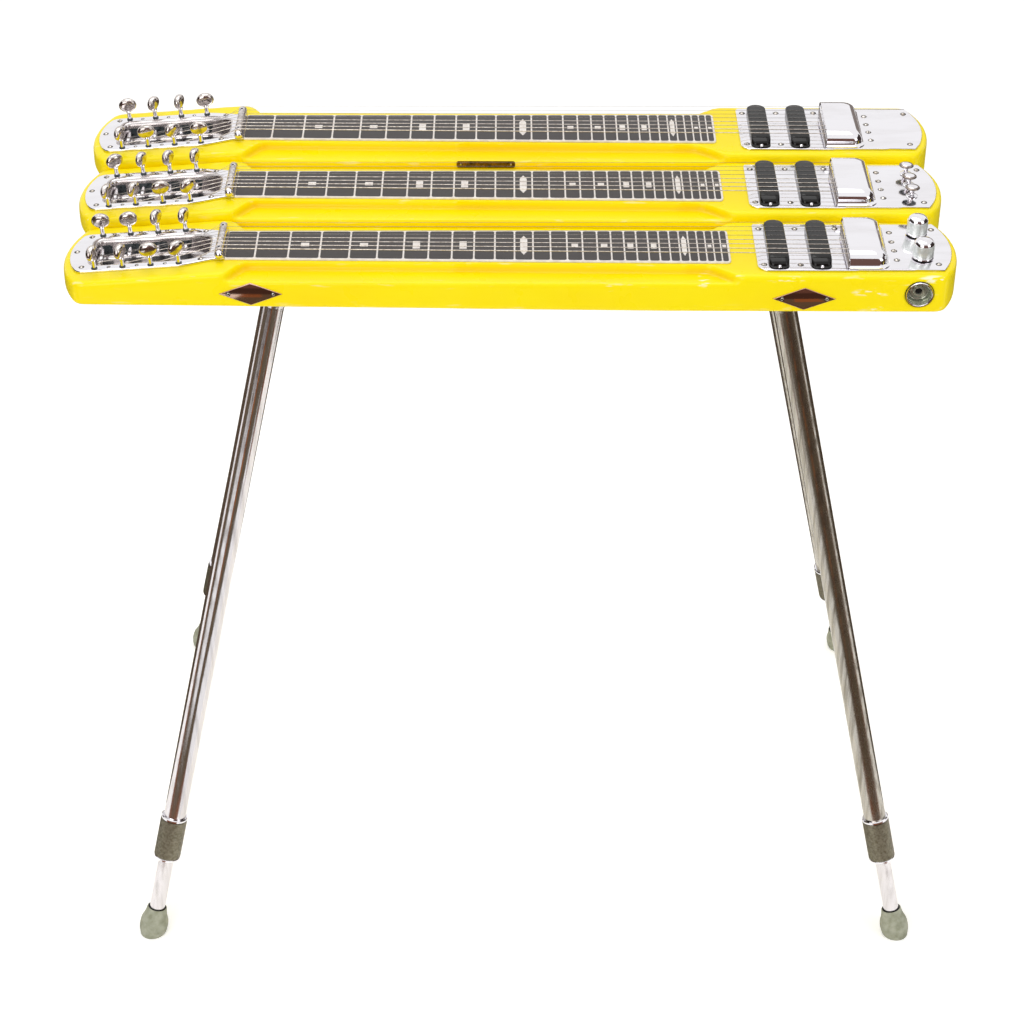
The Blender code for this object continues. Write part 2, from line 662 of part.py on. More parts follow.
def control_plate_outline():
    """Square-cut plate whose bridge end runs parallel to the end of the neck."""
    radius = (HALF_WIDTH ** 2 + END_BULGE ** 2) / (2 * END_BULGE)
    centre_x = TAIL_END_X - radius
    inner = radius - PLATE_END_MARGIN
    meet = math.degrees(math.asin(PLATE_HALF / inner))
    return (arc(centre_x, 0.0, inner, -meet, meet, 12)
            + arc(PLATE_LEFT_X + PLATE_CORNER / 2, PLATE_HALF - PLATE_CORNER / 2, PLATE_CORNER / 2, 90, 180, 3)
            + arc(PLATE_LEFT_X + PLATE_CORNER, -PLATE_HALF + PLATE_CORNER, PLATE_CORNER, 180, 270, 5))


def bridge():
    """The bridge under its cover: base, saddle bar and the wall that holds the strings' ends."""
    low = SEAT_GAP + PLATE_THICK - LAP / 2
    base = box((BRIDGE_BASE[0], -BRIDGE_HALF, low), (BRIDGE_BASE[1], BRIDGE_HALF, low + BRIDGE_BASE_HEIGHT))
    wall = box((TAIL_WALL[0], -BRIDGE_HALF, low + LAP), (TAIL_WALL[1], BRIDGE_HALF, TAIL_TOP))
    saddle_z = STRING_HEIGHT_BRIDGE + STRING_THIN - SADDLE_RADIUS
    bar = moved(cylinder(SADDLE_RADIUS, -BRIDGE_HALF, BRIDGE_HALF, 16),
                Matrix.Translation((SADDLE_X, 0.0, saddle_z)) @ Matrix.Rotation(math.pi / 2, 4, "X"))
    web = box((SADDLE_X - LAP, -BRIDGE_HALF + LAP, low + LAP), (SADDLE_X + LAP, BRIDGE_HALF - LAP, saddle_z))
    return join(base, wall, web, bar)


def control_plate(neck):
    """The control plate with the bridge and strings that it carries."""
    low = SEAT_GAP
    high = SEAT_GAP + PLATE_THICK
    outlines = [control_plate_outline()] + [pickup_hole(x) for x in PICKUPS.values()]
    mesh = plate(outlines, low, high)
    if neck == "front":
        for y in KNOB_Y.values():
            pot = cylinder(POT_RADIUS, low - POT_DEPTH, low + PLATE_THICK / 2, 20)
            mesh = join(mesh, shifted(pot, KNOB_X, y))
            hole = cylinder(KNOB_SHAFT_RADIUS + SHAFT_CLEAR, -KNOB_SHAFT_DEPTH - LAP, SCOOP_OVERRUN, 16)
            mesh = cut(mesh, shifted(hole, KNOB_X, y))
    if neck == "middle":
        middle_y = SELECTOR_Y["middle_selector_button"]
        half_x, half_y = SWITCH_HALF
        switch = box((SELECTOR_X - half_x, middle_y - half_y, low - SWITCH_DEPTH),
                     (SELECTOR_X + half_x, middle_y + half_y, low + PLATE_THICK / 2))
        mesh = join(mesh, switch)
        for y in SELECTOR_Y.values():
            hole = cylinder(SELECTOR_STEM_RADIUS + SHAFT_CLEAR, -2 * SWITCH_DEPTH, SCOOP_OVERRUN, 12)
            mesh = cut(mesh, shifted(hole, SELECTOR_X, y))
    mesh = join(mesh, bridge())
    for index in range(STRINGS):
        mesh = join(mesh, tube(string_line(index), string_radius(index), 0))
    return mesh


def pickup():
    """A pickup: a round-ended cover on a longer base, and the coil that hangs below it."""
    low = 2 * SEAT_GAP + PLATE_THICK
    half = PICKUP_WIDE / 2
    ears = plate([rounded_rectangle(-half, half, PICKUP_EAR_HALF_LENGTH, half, 3)], low, PICKUP_EAR_TOP)
    cover = plate([rounded_rectangle(-half, half, PICKUP_HALF_LENGTH, half, 3)], low + LAP, PICKUP_TOP)

    def top_rim(first, second, middle):
        return max(first.z, second.z) > 0.9 and min(first.z, second.z) < 0.3

    cover = rounded(cover, top_rim, PICKUP_EDGE_ROUND, 1)
    coil_half = PICKUP_COIL_WIDE / 2
    coil = plate([rounded_rectangle(-coil_half, coil_half, PICKUP_COIL_HALF, coil_half, 3)],
                 -PICKUP_DEPTH, low + LAP)
    return join(ears, coil, cover)


def bridge_cover():
    """A pressed cover over the bridge, open towards the strings and below."""
    low = 2 * SEAT_GAP + PLATE_THICK

    def shell(inset, overrun):
        mesh = box((COVER_X[0] - overrun, -COVER_HALF + inset, low - overrun),
                   (COVER_X[1] - inset, COVER_HALF - inset, COVER_TOP - inset))

        def shoulders(first, second, middle):
            lower = min(first.z, second.z)
            towards_strings = min(first.x, second.x) < -0.9
            return lower > -0.5 and not towards_strings

        return rounded(mesh, shoulders, COVER_SHOULDER - inset, 3)

    return cut(shell(0.0, 0.0), shell(COVER_WALL, 5 * LAP))


def knob():
    """A domed control knob on its shaft, which turns in the pot below the plate."""
    low = SEAT_GAP + PLATE_THICK + KNOB_LIFT
    top = SEAT_GAP + PLATE_THICK + KNOB_HEIGHT
    radius = KNOB_RADIUS
    profile = [(0.0, top), (radius * 0.5, top - 0.5 * MM), (radius * 0.78, top - 2.0 * MM),
               (radius * 0.92, top - 5.0 * MM), (radius * 0.95, low + 3.0 * MM), (radius, low + 2.0 * MM),
               (radius, low), (KNOB_SHAFT_RADIUS, low), (KNOB_SHAFT_RADIUS, -KNOB_SHAFT_DEPTH),
               (0.0, -KNOB_SHAFT_DEPTH)]
    return turned(profile, 16)


def selector_button():
    """A mushroom push-button on a stem."""
    plate_top = SEAT_GAP + PLATE_THICK
    top = plate_top + SELECTOR_CAP_TOP
    low = plate_top + SELECTOR_CAP_BOTTOM
    radius = SELECTOR_CAP_RADIUS
    profile = [(0.0, top), (radius * 0.55, top - 0.5 * MM), (radius * 0.88, top - 1.5 * MM),
               (radius, top - 2.8 * MM), (radius * 0.9, low), (SELECTOR_STEM_RADIUS, low),
               (SELECTOR_STEM_RADIUS, -SELECTOR_STEM_DEPTH), (0.0, -SELECTOR_STEM_DEPTH)]
    return turned(profile, TUBE_SIDES)


def jack_socket():
    """The output jack at the bottom of a dished cup; its bore takes a 6.35 mm plug."""
    rim = SEAT_GAP + JACK_RIM_THICK
    inner = JACK_CUP_RADIUS - JACK_CUP_WALL
    floor = -JACK_CUP_DEPTH
    profile = [(JACK_BORE_RADIUS, floor + 3.0 * MM), (JACK_BUSH_RADIUS * 0.8, floor + 3.0 * MM),
               (JACK_BUSH_RADIUS * 0.8, floor), (inner, floor), (inner, rim), (JACK_RIM_RADIUS, rim - 0.4 * MM),
               (JACK_RIM_RADIUS, SEAT_GAP), (JACK_CUP_RADIUS, SEAT_GAP),
               (JACK_CUP_RADIUS, floor - 1.5 * MM), (JACK_BUSH_RADIUS, floor - 1.5 * MM),
               (JACK_BUSH_RADIUS, -JACK_LENGTH), (0.0, -JACK_LENGTH), (0.0, -JACK_LENGTH + 2.0 * MM),
               (JACK_BORE_RADIUS, -JACK_LENGTH + 2.0 * MM), (JACK_BORE_RADIUS, floor + 3.0 * MM)]
    return moved(turned(profile, TUBE_SIDES), jack_frame())


def badge_plate():
    """A bare plate on the side of the rear neck."""
    length, thick, height = BADGE_SIZE
    front = -HALF_WIDTH - SEAT_GAP
    middle_z = -SCOOP_DEPTH - NECK_STEP + BADGE_LIFT + height / 2
    mesh = box((BADGE_CENTRE_X - length / 2, front - thick, middle_z - height / 2),
               (BADGE_CENTRE_X + length / 2, front, middle_z + height / 2))
    return mesh


def leg_direction(side_x, side_y):
    """A leg's way down and out, as a unit vector."""
    return Vector((side_x * math.tan(LEG_SPLAY_X), side_y * math.tan(LEG_SPLAY_Y), -1.0)).normalized()


def leg_frame(side_x, side_y):
    """Turns a leg made down -Z to its splay."""
    down = leg_direction(side_x, side_y)
    return Vector((0.0, 0.0, -1.0)).rotation_difference(down).to_matrix().to_4x4()


def collar_start(drop):
    """How far down a leg its collar begins, for the height that the leg spans."""
    return drop * LEG_SLANT - EXTENSION_SHOWN - LEG_COLLAR_LENGTH


def leg_tube(side_x, side_y, drop):
    """The upper leg: a flange under the neck, a boss, the tube and the collar that grips."""
    start = collar_start(drop)
    end = start + LEG_COLLAR_LENGTH
    bore = EXTENSION_RADIUS + EXTENSION_CLEAR
    rim = 2.0 * MM
    profile = [(0.0, 0.0), (LEG_BOSS_RADIUS, 0.0), (LEG_BOSS_RADIUS, -LEG_BOSS_LENGTH),
               (LEG_RADIUS, -LEG_BOSS_LENGTH - rim), (LEG_RADIUS, -start),
               (LEG_COLLAR_RADIUS, -start - rim), (LEG_COLLAR_RADIUS, -end),
               (bore, -end), (bore, -end + LEG_BORE_DEPTH), (0.0, -end + LEG_BORE_DEPTH)]
    leg = moved(turned(profile, TUBE_SIDES), leg_frame(side_x, side_y))
    above = box((-0.1, -0.1, 0.0 - SEAT_GAP - LEG_FLANGE_THICK / 2), (0.1, 0.1, 0.1))
    flange = cylinder(LEG_FLANGE_RADIUS, -SEAT_GAP - LEG_FLANGE_THICK, -SEAT_GAP, 16)
    return join(cut(leg, above), flange)


def leg_extension(side_x, side_y, drop):
    """The lower leg: the sliding tube and its rubber foot, cut flat where it stands."""
    down = leg_direction(side_x, side_y)
    length = drop / -down.z
    start = collar_start(drop) + LEG_COLLAR_LENGTH - EXTENSION_INSIDE
    foot = length - FOOT_LENGTH
    bore = EXTENSION_RADIUS - EXTENSION_WALL
    profile = [(0.0, -foot), (bore, -foot), (bore, -start), (EXTENSION_RADIUS, -start),
               (EXTENSION_RADIUS, -foot),
               (FOOT_RADIUS * 0.72, -foot), (FOOT_RADIUS * 0.8, -foot - 0.25 * FOOT_LENGTH),
               (FOOT_RADIUS * 0.97, -foot - 0.45 * FOOT_LENGTH), (FOOT_RADIUS, -foot - 0.65 * FOOT_LENGTH),
               (FOOT_RADIUS * 0.94, -foot - 0.9 * FOOT_LENGTH), (FOOT_RADIUS * 0.8, -foot - 1.1 * FOOT_LENGTH),
               (0.0, -foot - 1.1 * FOOT_LENGTH)]
    leg = moved(turned(profile, TUBE_SIDES), leg_frame(side_x, side_y))
    reach = length
    floor = box((-reach, -reach, -drop - 3 * FOOT_RADIUS), (reach, reach, -drop))
    return cut(leg, floor)


def add(collection, name, mesh, material, parent, location=(0.0, 0.0, 0.0), turn=0.0):
    """Put one finished piece in the part."""
    item = bpy.data.objects.new(name, mesh)
    collection.objects.link(item)
    item.parent = parent
    item.location = location
    item.rotation_euler = (0.0, 0.0, turn)
    if not mesh.materials:
        mesh.materials.append(material)
    mesh.shade_smooth()
    mesh.set_sharp_from_angle(angle=math.radians(35))
    return item


def empty(collection, name, parent=None, matrix=None):
    item = bpy.data.objects.new(name, None)
    collection.objects.link(item)
    item.parent = parent
    if matrix is not None:
        item.matrix_local = matrix
    return item


def build_neck(part, materials, root, index, shared):
    """One neck with everything that it carries, except the legs."""
    neck = NECKS[index]
    frame = Matrix.Translation((0.0, NECK_PITCH * index, TOP_HEIGHT + NECK_STEP * index))
    origin = empty(part, f"{neck}_neck_origin", root, frame)
    body_mesh = body(neck == "front") if neck == "front" else shared["body"]
    add(part, f"{neck}_body", body_mesh, materials["enamel"], origin)
    add(part, f"{neck}_fretboard", shared["fretboard"], materials["board"], origin)
    add(part, f"{neck}_tuner_pan", shared["tuner_pan"], materials["chrome"], origin)
    add(part, f"{neck}_control_plate", control_plate(neck), materials["chrome"], origin)
    add(part, f"{neck}_bridge_cover", shared["bridge_cover"], materials["chrome"], origin)
    for name, x in PICKUPS.items():
        add(part, f"{neck}_{name}_pickup", shared["pickup"], materials["black"], origin, (x, 0.0, 0.0))
    head = empty(part, f"{neck}_head_origin", origin, head_frame())
    turns = KEY_TURNS_FAR[neck] + KEY_TURNS_NEAR[neck]
    for number, ((x, y), turn) in enumerate(zip(key_places(), turns), start=1):
        add(part, f"{neck}_tuner_key_{number}", shared["tuner_key"], materials["chrome"], head,
            (x, y, 0.0), math.radians(turn))
    if neck == "front":
        for name, y in KNOB_Y.items():
            add(part, name, shared["knob"], materials["chrome"], origin, (KNOB_X, y, 0.0))
        add(part, "jack_socket", jack_socket(), materials["chrome"], origin)
    if neck == "middle":
        for name, y in SELECTOR_Y.items():
            add(part, name, shared["selector"], materials["chrome"], origin, (SELECTOR_X, y, 0.0))
    if neck == "rear":
        add(part, "badge_plate", badge_plate(), materials["brass"], origin)


def build_legs(part, materials, root):
    """Four splayed legs, two under the front neck and two under the rear one."""
    for place, index, side_y in (("front", 0, -1), ("rear", len(NECKS) - 1, 1)):
        inboard = REAR_LEG_INBOARD if place == "rear" else 0.0
        for side, side_x in (("left", -1), ("right", 1)):
            x = LEG_X[side] - side_x * inboard
            drop = TOP_HEIGHT + NECK_STEP * index + underside(x + LEG_FLANGE_RADIUS)
            socket = Matrix.Translation((x, NECK_PITCH * index, drop))
            origin = empty(part, f"{place}_{side}_leg_origin", root, socket)
            add(part, f"{place}_{side}_leg_tube", leg_tube(side_x, side_y, drop),
                materials["chrome"], origin)
            add(part, f"{place}_{side}_leg_extension", leg_extension(side_x, side_y, drop),
                materials["chrome"], origin)


def centre_on_floor(part, root):
    """Shift the root so that the origin is under the middle of the whole object."""
    bpy.context.view_layer.update()
    corners = [item.matrix_world @ vertex.co for item in part.objects if item.type == "MESH"
               for vertex in item.data.vertices]
    for axis in (0, 1):
        values = [corner[axis] for corner in corners]
        root.location[axis] = -(min(values) + max(values)) / 2


def build():
    part = clear_scene()
    materials = {
        "enamel": paint("yellow_enamel", (1.0, 0.78, 0.0), 0.25, 0.0),
        "board": paint("black_board", (0.03, 0.03, 0.035), 0.35, 0.0),
        "chrome": paint("chrome", (0.75, 0.76, 0.78), 0.12, 1.0),
        "black": paint("black_plastic", (0.02, 0.02, 0.02), 0.3, 0.0),
        "brass": paint("bronze_plate", (0.42, 0.3, 0.1), 0.35, 1.0),
    }
    root = empty(part, "console_origin")
    shared = {
        "body": body(False),
        "fretboard": fretboard(),
        "tuner_pan": tuner_pan(),
        "tuner_key": tuner_key(),
        "pickup": pickup(),
        "bridge_cover": bridge_cover(),
        "knob": knob(),
        "selector": selector_button(),
    }
    for index in range(len(NECKS)):
        build_neck(part, materials, root, index, shared)
    build_legs(part, materials, root)
    centre_on_floor(part, root)


build()
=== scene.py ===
"""Looks of a triple-neck console steel guitar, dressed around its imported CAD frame.

Each sub-assembly is a class that models its own pieces at their real sizes and dresses them.
Lengths are metres, written as millimetres times MM.
"""

import logging
import math
from dataclasses import dataclass
from enum import Enum
from typing import Callable, Sequence

import bmesh
import bpy
import numpy as np
from mathutils import Matrix, Vector

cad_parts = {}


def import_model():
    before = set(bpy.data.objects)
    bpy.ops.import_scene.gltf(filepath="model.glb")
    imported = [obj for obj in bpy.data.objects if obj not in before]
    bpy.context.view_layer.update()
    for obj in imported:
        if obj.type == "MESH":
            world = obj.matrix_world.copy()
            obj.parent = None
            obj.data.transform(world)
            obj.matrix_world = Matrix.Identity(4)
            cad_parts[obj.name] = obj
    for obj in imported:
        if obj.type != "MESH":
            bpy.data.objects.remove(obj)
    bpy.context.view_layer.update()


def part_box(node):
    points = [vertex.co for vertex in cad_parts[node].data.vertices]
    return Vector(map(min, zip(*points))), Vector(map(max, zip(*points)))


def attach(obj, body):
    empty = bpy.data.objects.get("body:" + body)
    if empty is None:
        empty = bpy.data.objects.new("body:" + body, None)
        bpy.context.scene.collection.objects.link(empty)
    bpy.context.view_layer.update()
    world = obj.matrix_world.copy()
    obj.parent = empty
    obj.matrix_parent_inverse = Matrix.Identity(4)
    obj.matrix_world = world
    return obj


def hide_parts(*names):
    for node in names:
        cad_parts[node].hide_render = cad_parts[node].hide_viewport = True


MM = 0.001
NECKS = ("front", "middle", "rear")
SMOOTH_ANGLE = math.radians(35)
UP = (0.0, 0.0, 1.0)
log = logging.getLogger("steel_guitar")

Point = tuple[float, float]
Place = tuple[float, float, float]
Shape = bmesh.types.BMesh
Mesh = bpy.types.Mesh
Tree = bpy.types.NodeTree
Socket = bpy.types.NodeSocket


def mm(*sizes: float | tuple) -> tuple:
    """Turn sizes in millimetres, alone or in tuples, to metres."""
    return tuple(mm(*size) if isinstance(size, tuple) else size * MM for size in sizes)


class Slot(Enum):
    """The record's material slots."""

    ENAMEL = "yellow_enamel"
    BOARD = "fretboard_black"
    CHROME = "chrome_plate"
    PICKUP = "pickup_black"
    BRONZE = "bronze_plate"
    LEG = "leg_chrome"
    RUBBER = "foot_rubber"


def linear(colour: str) -> tuple[float, float, float, float]:
    """Turn an sRGB hex colour to linear red, green, blue and alpha.

    Args:
        colour: Six hex digits after a hash.

    Returns:
        The linear values, with an alpha of 1.
    """
    shares = [int(colour[i:i + 2], 16) / 255 for i in (1, 3, 5)]
    values = [c / 12.92 if c <= 0.04045 else ((c + 0.055) / 1.055) ** 2.4 for c in shares]
    return (values[0], values[1], values[2], 1.0)


def add_node(tree: Tree, kind: str, inputs: dict, **settings: str) -> bpy.types.Node:
    """Add a node with its settings, and set or link its inputs.

    Args:
        tree: The material's node tree.
        kind: The node's type name.
        inputs: Socket names or numbers, each with a value or the output that feeds it.
        **settings: The node's own properties.

    Returns:
        The new node.
    """
    node = tree.nodes.new(kind)
    for name, value in settings.items():
        setattr(node, name, value)
    for socket, value in inputs.items():
        if isinstance(value, Socket):
            tree.links.new(value, node.inputs[socket])
        else:
            node.inputs[socket].default_value = value
    return node


def noise(tree: Tree, size: float, stretch: Sequence[float] = (1.0, 1.0, 1.0),
          detail: float = 3.0) -> Socket:
    """A noise pattern on the object's own coordinates.

    Args:
        tree: The material's node tree.
        size: The real size of its blotches.
        stretch: How many times longer a blotch is along each axis.
        detail: The noise's detail.

    Returns:
        The socket with the pattern's value.
    """
    place = add_node(tree, "ShaderNodeTexCoord", {})
    scale = [1 / share for share in stretch]
    spread = add_node(tree, "ShaderNodeMapping", {"Vector": place.outputs["Object"], "Scale": scale})
    grain = add_node(tree, "ShaderNodeTexNoise",
                     {"Vector": spread.outputs["Vector"], "Scale": 1 / size, "Detail": detail})
    return grain.outputs["Fac"]


def ranged(tree: Tree, value: Socket, start: Point, end: Point) -> Socket:
    """Map a value from one range to another, clamped.

    Args:
        tree: The material's node tree.
        value: The socket to map.
        start: The range that it comes in.
        end: The range that it goes to.

    Returns:
        The mapped socket.
    """
    node = add_node(tree, "ShaderNodeMapRange", {"Value": value, "From Min": start[0], "From Max": start[1],
                                                 "To Min": end[0], "To Max": end[1]})
    return node.outputs["Result"]


def mixed(tree: Tree, share: Socket, first: Socket | tuple, second: Socket | tuple) -> Socket:
    """Mix two colours by a share.

    Args:
        tree: The material's node tree.
        share: How much of the second shows.
        first: A colour or a socket.
        second: A colour or a socket.

    Returns:
        The mixed colour's socket.
    """
    node = add_node(tree, "ShaderNodeMix", {0: share, 6: first, 7: second}, data_type="RGBA")
    return node.outputs[2]


def combined(tree: Tree, operation: str, first: Socket | float, second: Socket | float) -> Socket:
    """Two values, each a number or a socket, put through one operation of a Math node."""
    return add_node(tree, "ShaderNodeMath", {0: first, 1: second}, operation=operation).outputs[0]


def marked(tree: Tree, name: str) -> Socket:
    """The value that a mesh holds at its vertices under a name."""
    return add_node(tree, "ShaderNodeAttribute", {}, attribute_name=name).outputs["Fac"]


def bumped(tree: Tree, shader: bpy.types.Node, height: Socket,
           strength: float, depth: float) -> None:
    """Raise a shader's surface by a pattern.

    Args:
        tree: The material's node tree.
        shader: The node whose normal it sets.
        height: The pattern.
        strength: How strongly it shows.
        depth: The pattern's real depth.
    """
    bump = add_node(tree, "ShaderNodeBump", {"Height": height, "Strength": strength, "Distance": depth})
    tree.links.new(bump.outputs["Normal"], shader.inputs["Normal"])


def two_tones(tree: Tree, shader: bpy.types.Node, pattern: Socket, tones: tuple[str, str], rough: Point
              ) -> None:
    """Mix a shader's colour between two tones, and its roughness between two values, by a pattern."""
    tree.links.new(mixed(tree, pattern, linear(tones[0]), linear(tones[1])), shader.inputs["Base Color"])
    tree.links.new(ranged(tree, pattern, (0.0, 1.0), rough), shader.inputs["Roughness"])


class Finish:
    """One real surface. A subclass paints its shader."""

    name: str

    def paint(self, tree: Tree, shader: bpy.types.Node) -> None:
        """Set the shader's values and patterns."""
        raise NotImplementedError

    def material(self) -> bpy.types.Material:
        """The finish's material, made once.

        Returns:
            The material.
        """
        known = bpy.data.materials.get(self.name)
        if known:
            return known
        material = bpy.data.materials.new(self.name)
        material.use_nodes = True
        tree = material.node_tree
        self.paint(tree, tree.nodes["Principled BSDF"])
        return material


@dataclass(frozen=True)
class Lacquer(Finish):
    """Sprayed nitrocellulose lacquer on ash: glossy yellow, deepened in hollows by painted shade, chipped to
    bare wood.
    """

    name: str = "nitrocellulose_lacquer_yellow"
    colour: str = "#FFE800"
    warm: str = "#FFDA04"
    # Painted shade: the deeper yellow that the coves are mixed towards
    deep: str = "#F2BA00"
    bare: str = "#FFF8D6"
    roughness: Point = (0.24, 0.36)
    blotch: float = 80 * MM
    chip: float = 5 * MM
    scrape: float = 3.2 * MM
    orange_peel: float = 3 * MM
    cove_shade_strength: float = 0.7
    shine: float = 0.2
    coat: Point = (0.1, 0.06)

    def paint(self, tree: Tree, shader: bpy.types.Node) -> None:
        """Yellow with faint blotches, deepened in the coves by painted shade, chipped along edges and where
        it is knocked.

        Args:
            tree: The material's node tree.
            shader: Its shader.
        """
        blotches = ranged(tree, noise(tree, self.blotch, (3.0, 1.0, 1.0)), (0.45, 0.7), (0.0, 0.6))
        colour = mixed(tree, blotches, linear(self.colour), linear(self.warm))
        # Painted shade: the coves that the mesh marks are mixed towards the deeper yellow
        coves = combined(tree, "MULTIPLY", marked(tree, "cove"), self.cove_shade_strength)
        colour = mixed(tree, coves, colour, linear(self.deep))
        chips = ranged(tree, noise(tree, self.chip, (6.0, 1.0, 1.0), 6.0), (0.62, 0.7), (0.0, 0.5))
        scrapes = ranged(tree, noise(tree, self.scrape, (4.0, 1.0, 1.0), 5.0), (0.52, 0.6), (0.0, 0.95))
        for place, pattern in (("edge", chips), ("scuff", scrapes)):
            bare = combined(tree, "MULTIPLY", marked(tree, place), pattern)
            colour = mixed(tree, bare, colour, linear(self.bare))
        tree.links.new(colour, shader.inputs["Base Color"])
        rough = ranged(tree, noise(tree, self.blotch / 2), (0.3, 0.7), self.roughness)
        tree.links.new(rough, shader.inputs["Roughness"])
        shader.inputs["Specular IOR Level"].default_value = self.shine
        shader.inputs["Coat Weight"].default_value = self.coat[0]
        shader.inputs["Coat Roughness"].default_value = self.coat[1]
        bumped(tree, shader, noise(tree, self.orange_peel), 0.08, 0.1 * MM)


@dataclass(frozen=True)
class Chrome(Finish):
    """Chrome plate on brass: bright, slightly blue-grey, with wiped smears and, where old, a brown film."""

    name: str
    colour: str = "#F1EFF3"
    film: str = "#A59A92"
    film_share: float = 0.12
    roughness: Point = (0.05, 0.16)
    smear: float = 14 * MM
    stretch: tuple[float, float, float] = (4.0, 1.0, 1.0)
    dent: float = 0.03

    def paint(self, tree: Tree, shader: bpy.types.Node) -> None:
        """A mirror whose smears change its tone and roughness.

        Args:
            tree: The material's node tree.
            shader: Its shader.
        """
        smears = noise(tree, self.smear, self.stretch, 5.0)
        film = ranged(tree, smears, (0.42, 0.72), (0.0, self.film_share))
        colour = mixed(tree, film, linear(self.colour), linear(self.film))
        tree.links.new(colour, shader.inputs["Base Color"])
        tree.links.new(ranged(tree, smears, (0.35, 0.7), self.roughness), shader.inputs["Roughness"])
        shader.inputs["Metallic"].default_value = 1.0
        bumped(tree, shader, noise(tree, self.smear * 2), self.dent, 0.3 * MM)


@dataclass(frozen=True)
class Moulded(Finish):
    """A moulded plastic or rubber, or a print on one: even colour with fine mottling."""

    name: str
    colour: str
    shade: str
    roughness: Point
    blotch: float = 6 * MM
    grain: float = 0.05
    stretch: tuple[float, float, float] = (1.0, 1.0, 1.0)
    shine: float = 0.5

    def paint(self, tree: Tree, shader: bpy.types.Node) -> None:
        """Two close tones, a little roughness change and a fine grain.

        Args:
            tree: The material's node tree.
            shader: Its shader.
        """
        pattern = ranged(tree, noise(tree, self.blotch, self.stretch), (0.35, 0.65), (0.0, 1.0))
        two_tones(tree, shader, pattern, (self.colour, self.shade), self.roughness)
        shader.inputs["Specular IOR Level"].default_value = self.shine
        bumped(tree, shader, noise(tree, 0.8 * MM), self.grain, 0.05 * MM)


@dataclass(frozen=True)
class Cast(Finish):
    """A cast, knurled, wound or tarnished metal: duller than plate, with a grain that shows."""

    name: str
    colour: str
    shade: str
    roughness: Point
    grain: float = 1.6 * MM
    depth: float = 0.2
    metal: float = 1.0

    def paint(self, tree: Tree, shader: bpy.types.Node) -> None:
        """A metal in two tones with a raised grain.

        Args:
            tree: The material's node tree.
            shader: Its shader.
        """
        pattern = ranged(tree, noise(tree, self.grain * 3), (0.35, 0.68), (0.0, 1.0))
        two_tones(tree, shader, pattern, (self.colour, self.shade), self.roughness)
        shader.inputs["Metallic"].default_value = self.metal
        bumped(tree, shader, noise(tree, self.grain), self.depth, 0.2 * MM)


LACQUER = Lacquer()
# Polished chrome plate on the pans, plates, covers and keys
PLATE_CHROME = Chrome("polished_chrome_plate")
# The same plate on small turned pieces, whose smears are smaller
SMALL_CHROME = Chrome("polished_chrome_fittings", smear=5 * MM, stretch=(1.0, 1.0, 1.0), film_share=0.2)
# Plate inside the pans: slightly pink, rougher, and darker than the flange's plate as painted shade in the
# deep trough
SHADED_TROUGH_CHROME = Chrome("trough_chrome_painted_shade", colour="#D6D0D0", film="#7C736E", film_share=0.55,
                       smear=9 * MM, roughness=(0.16, 0.3))
# The keys' plate, browned and pitted where fingers turn them
KEY_CHROME = Chrome("aged_chrome_keys", colour="#DDD5D1", film="#6B5C53", film_share=0.7, smear=4 * MM,
                    stretch=(1.0, 1.0, 1.0), roughness=(0.1, 0.28), dent=0.14)
# Chrome on the left legs' upper tubes and on all four sliding tubes, still bright
LEG_CHROME = Chrome("chrome_tube_bright", colour="#E6E2E4", film="#7A6E62", film_share=0.25, smear=5 * MM,
                    stretch=(1.0, 1.0, 40.0), roughness=(0.08, 0.2), dent=0.01)
# Chrome on the right legs' upper tubes, dulled by a brown film
WORN_CHROME = Chrome("chrome_tube_worn", colour="#C2BDB4", film="#6E6450", film_share=0.7, smear=4 * MM,
                     stretch=(1.0, 1.0, 50.0), roughness=(0.16, 0.34), dent=0.01)
# Diamond plates on the player's side: a mirror tinted pink-brown, a painted reflection of the brown floor
# that they face
REFLECTION_TINTED_MIRROR = Chrome("chrome_inlay_painted_reflection", colour="#DDB9A4", film="#96705A", film_share=0.3, smear=9 * MM,
                     roughness=(0.07, 0.14))
# Chrome that was brushed round the knobs' barrels, so that it reads as pale satin
BRUSHED = Cast("brushed_chrome_barrel", "#F2F6F3", "#DEE5E1", (0.3, 0.4), 0.6 * MM, 0.05, 0.6)
# Printed vinyl board face: soft black cells
BOARD_BLACK = Moulded("printed_board_black", "#332D2C", "#3C3635", (0.3, 0.42), stretch=(6.0, 1.0, 1.0),
                      shine=0.4)
# The board's cream print for frets, border and marks
BOARD_CREAM = Moulded("printed_board_cream", "#F2ECE6", "#E2D9D2", (0.35, 0.5))
# Moulded pickup covers: glossy black styrene
STYRENE = Moulded("black_styrene", "#0E0D0D", "#171515", (0.1, 0.2), grain=0.01, shine=0.28)
# Painted shade: black in holes, slots and bores, and in rings round seats and gaps
PAINTED_SHADE = Moulded("painted_shade_recess", "#0C0B0B", "#15120F", (0.6, 0.8))
# Painted shade: the dark of the slots in the troughs' walls where the worm gears sit, of the keys' bushes and
# of the selectors' undersides
PAINTED_SHADE_WELL = Moulded("gear_well_painted_shade", "#2A3033", "#3A4246", (0.22, 0.35), blotch=4 * MM)
# Chromed zinc casting of the nuts, with a sandy grain
NUT_METAL = Cast("chromed_zinc_casting", "#E6E1E0", "#AFA6A2", (0.16, 0.4), 1.4 * MM, 0.25)
# The jack's cup, whose nickel has turned pale and greenish
CUP_NICKEL = Cast("tarnished_nickel_cup", "#D6DACA", "#A6AC9C", (0.18, 0.32), 1.2 * MM, 0.1, 0.7)
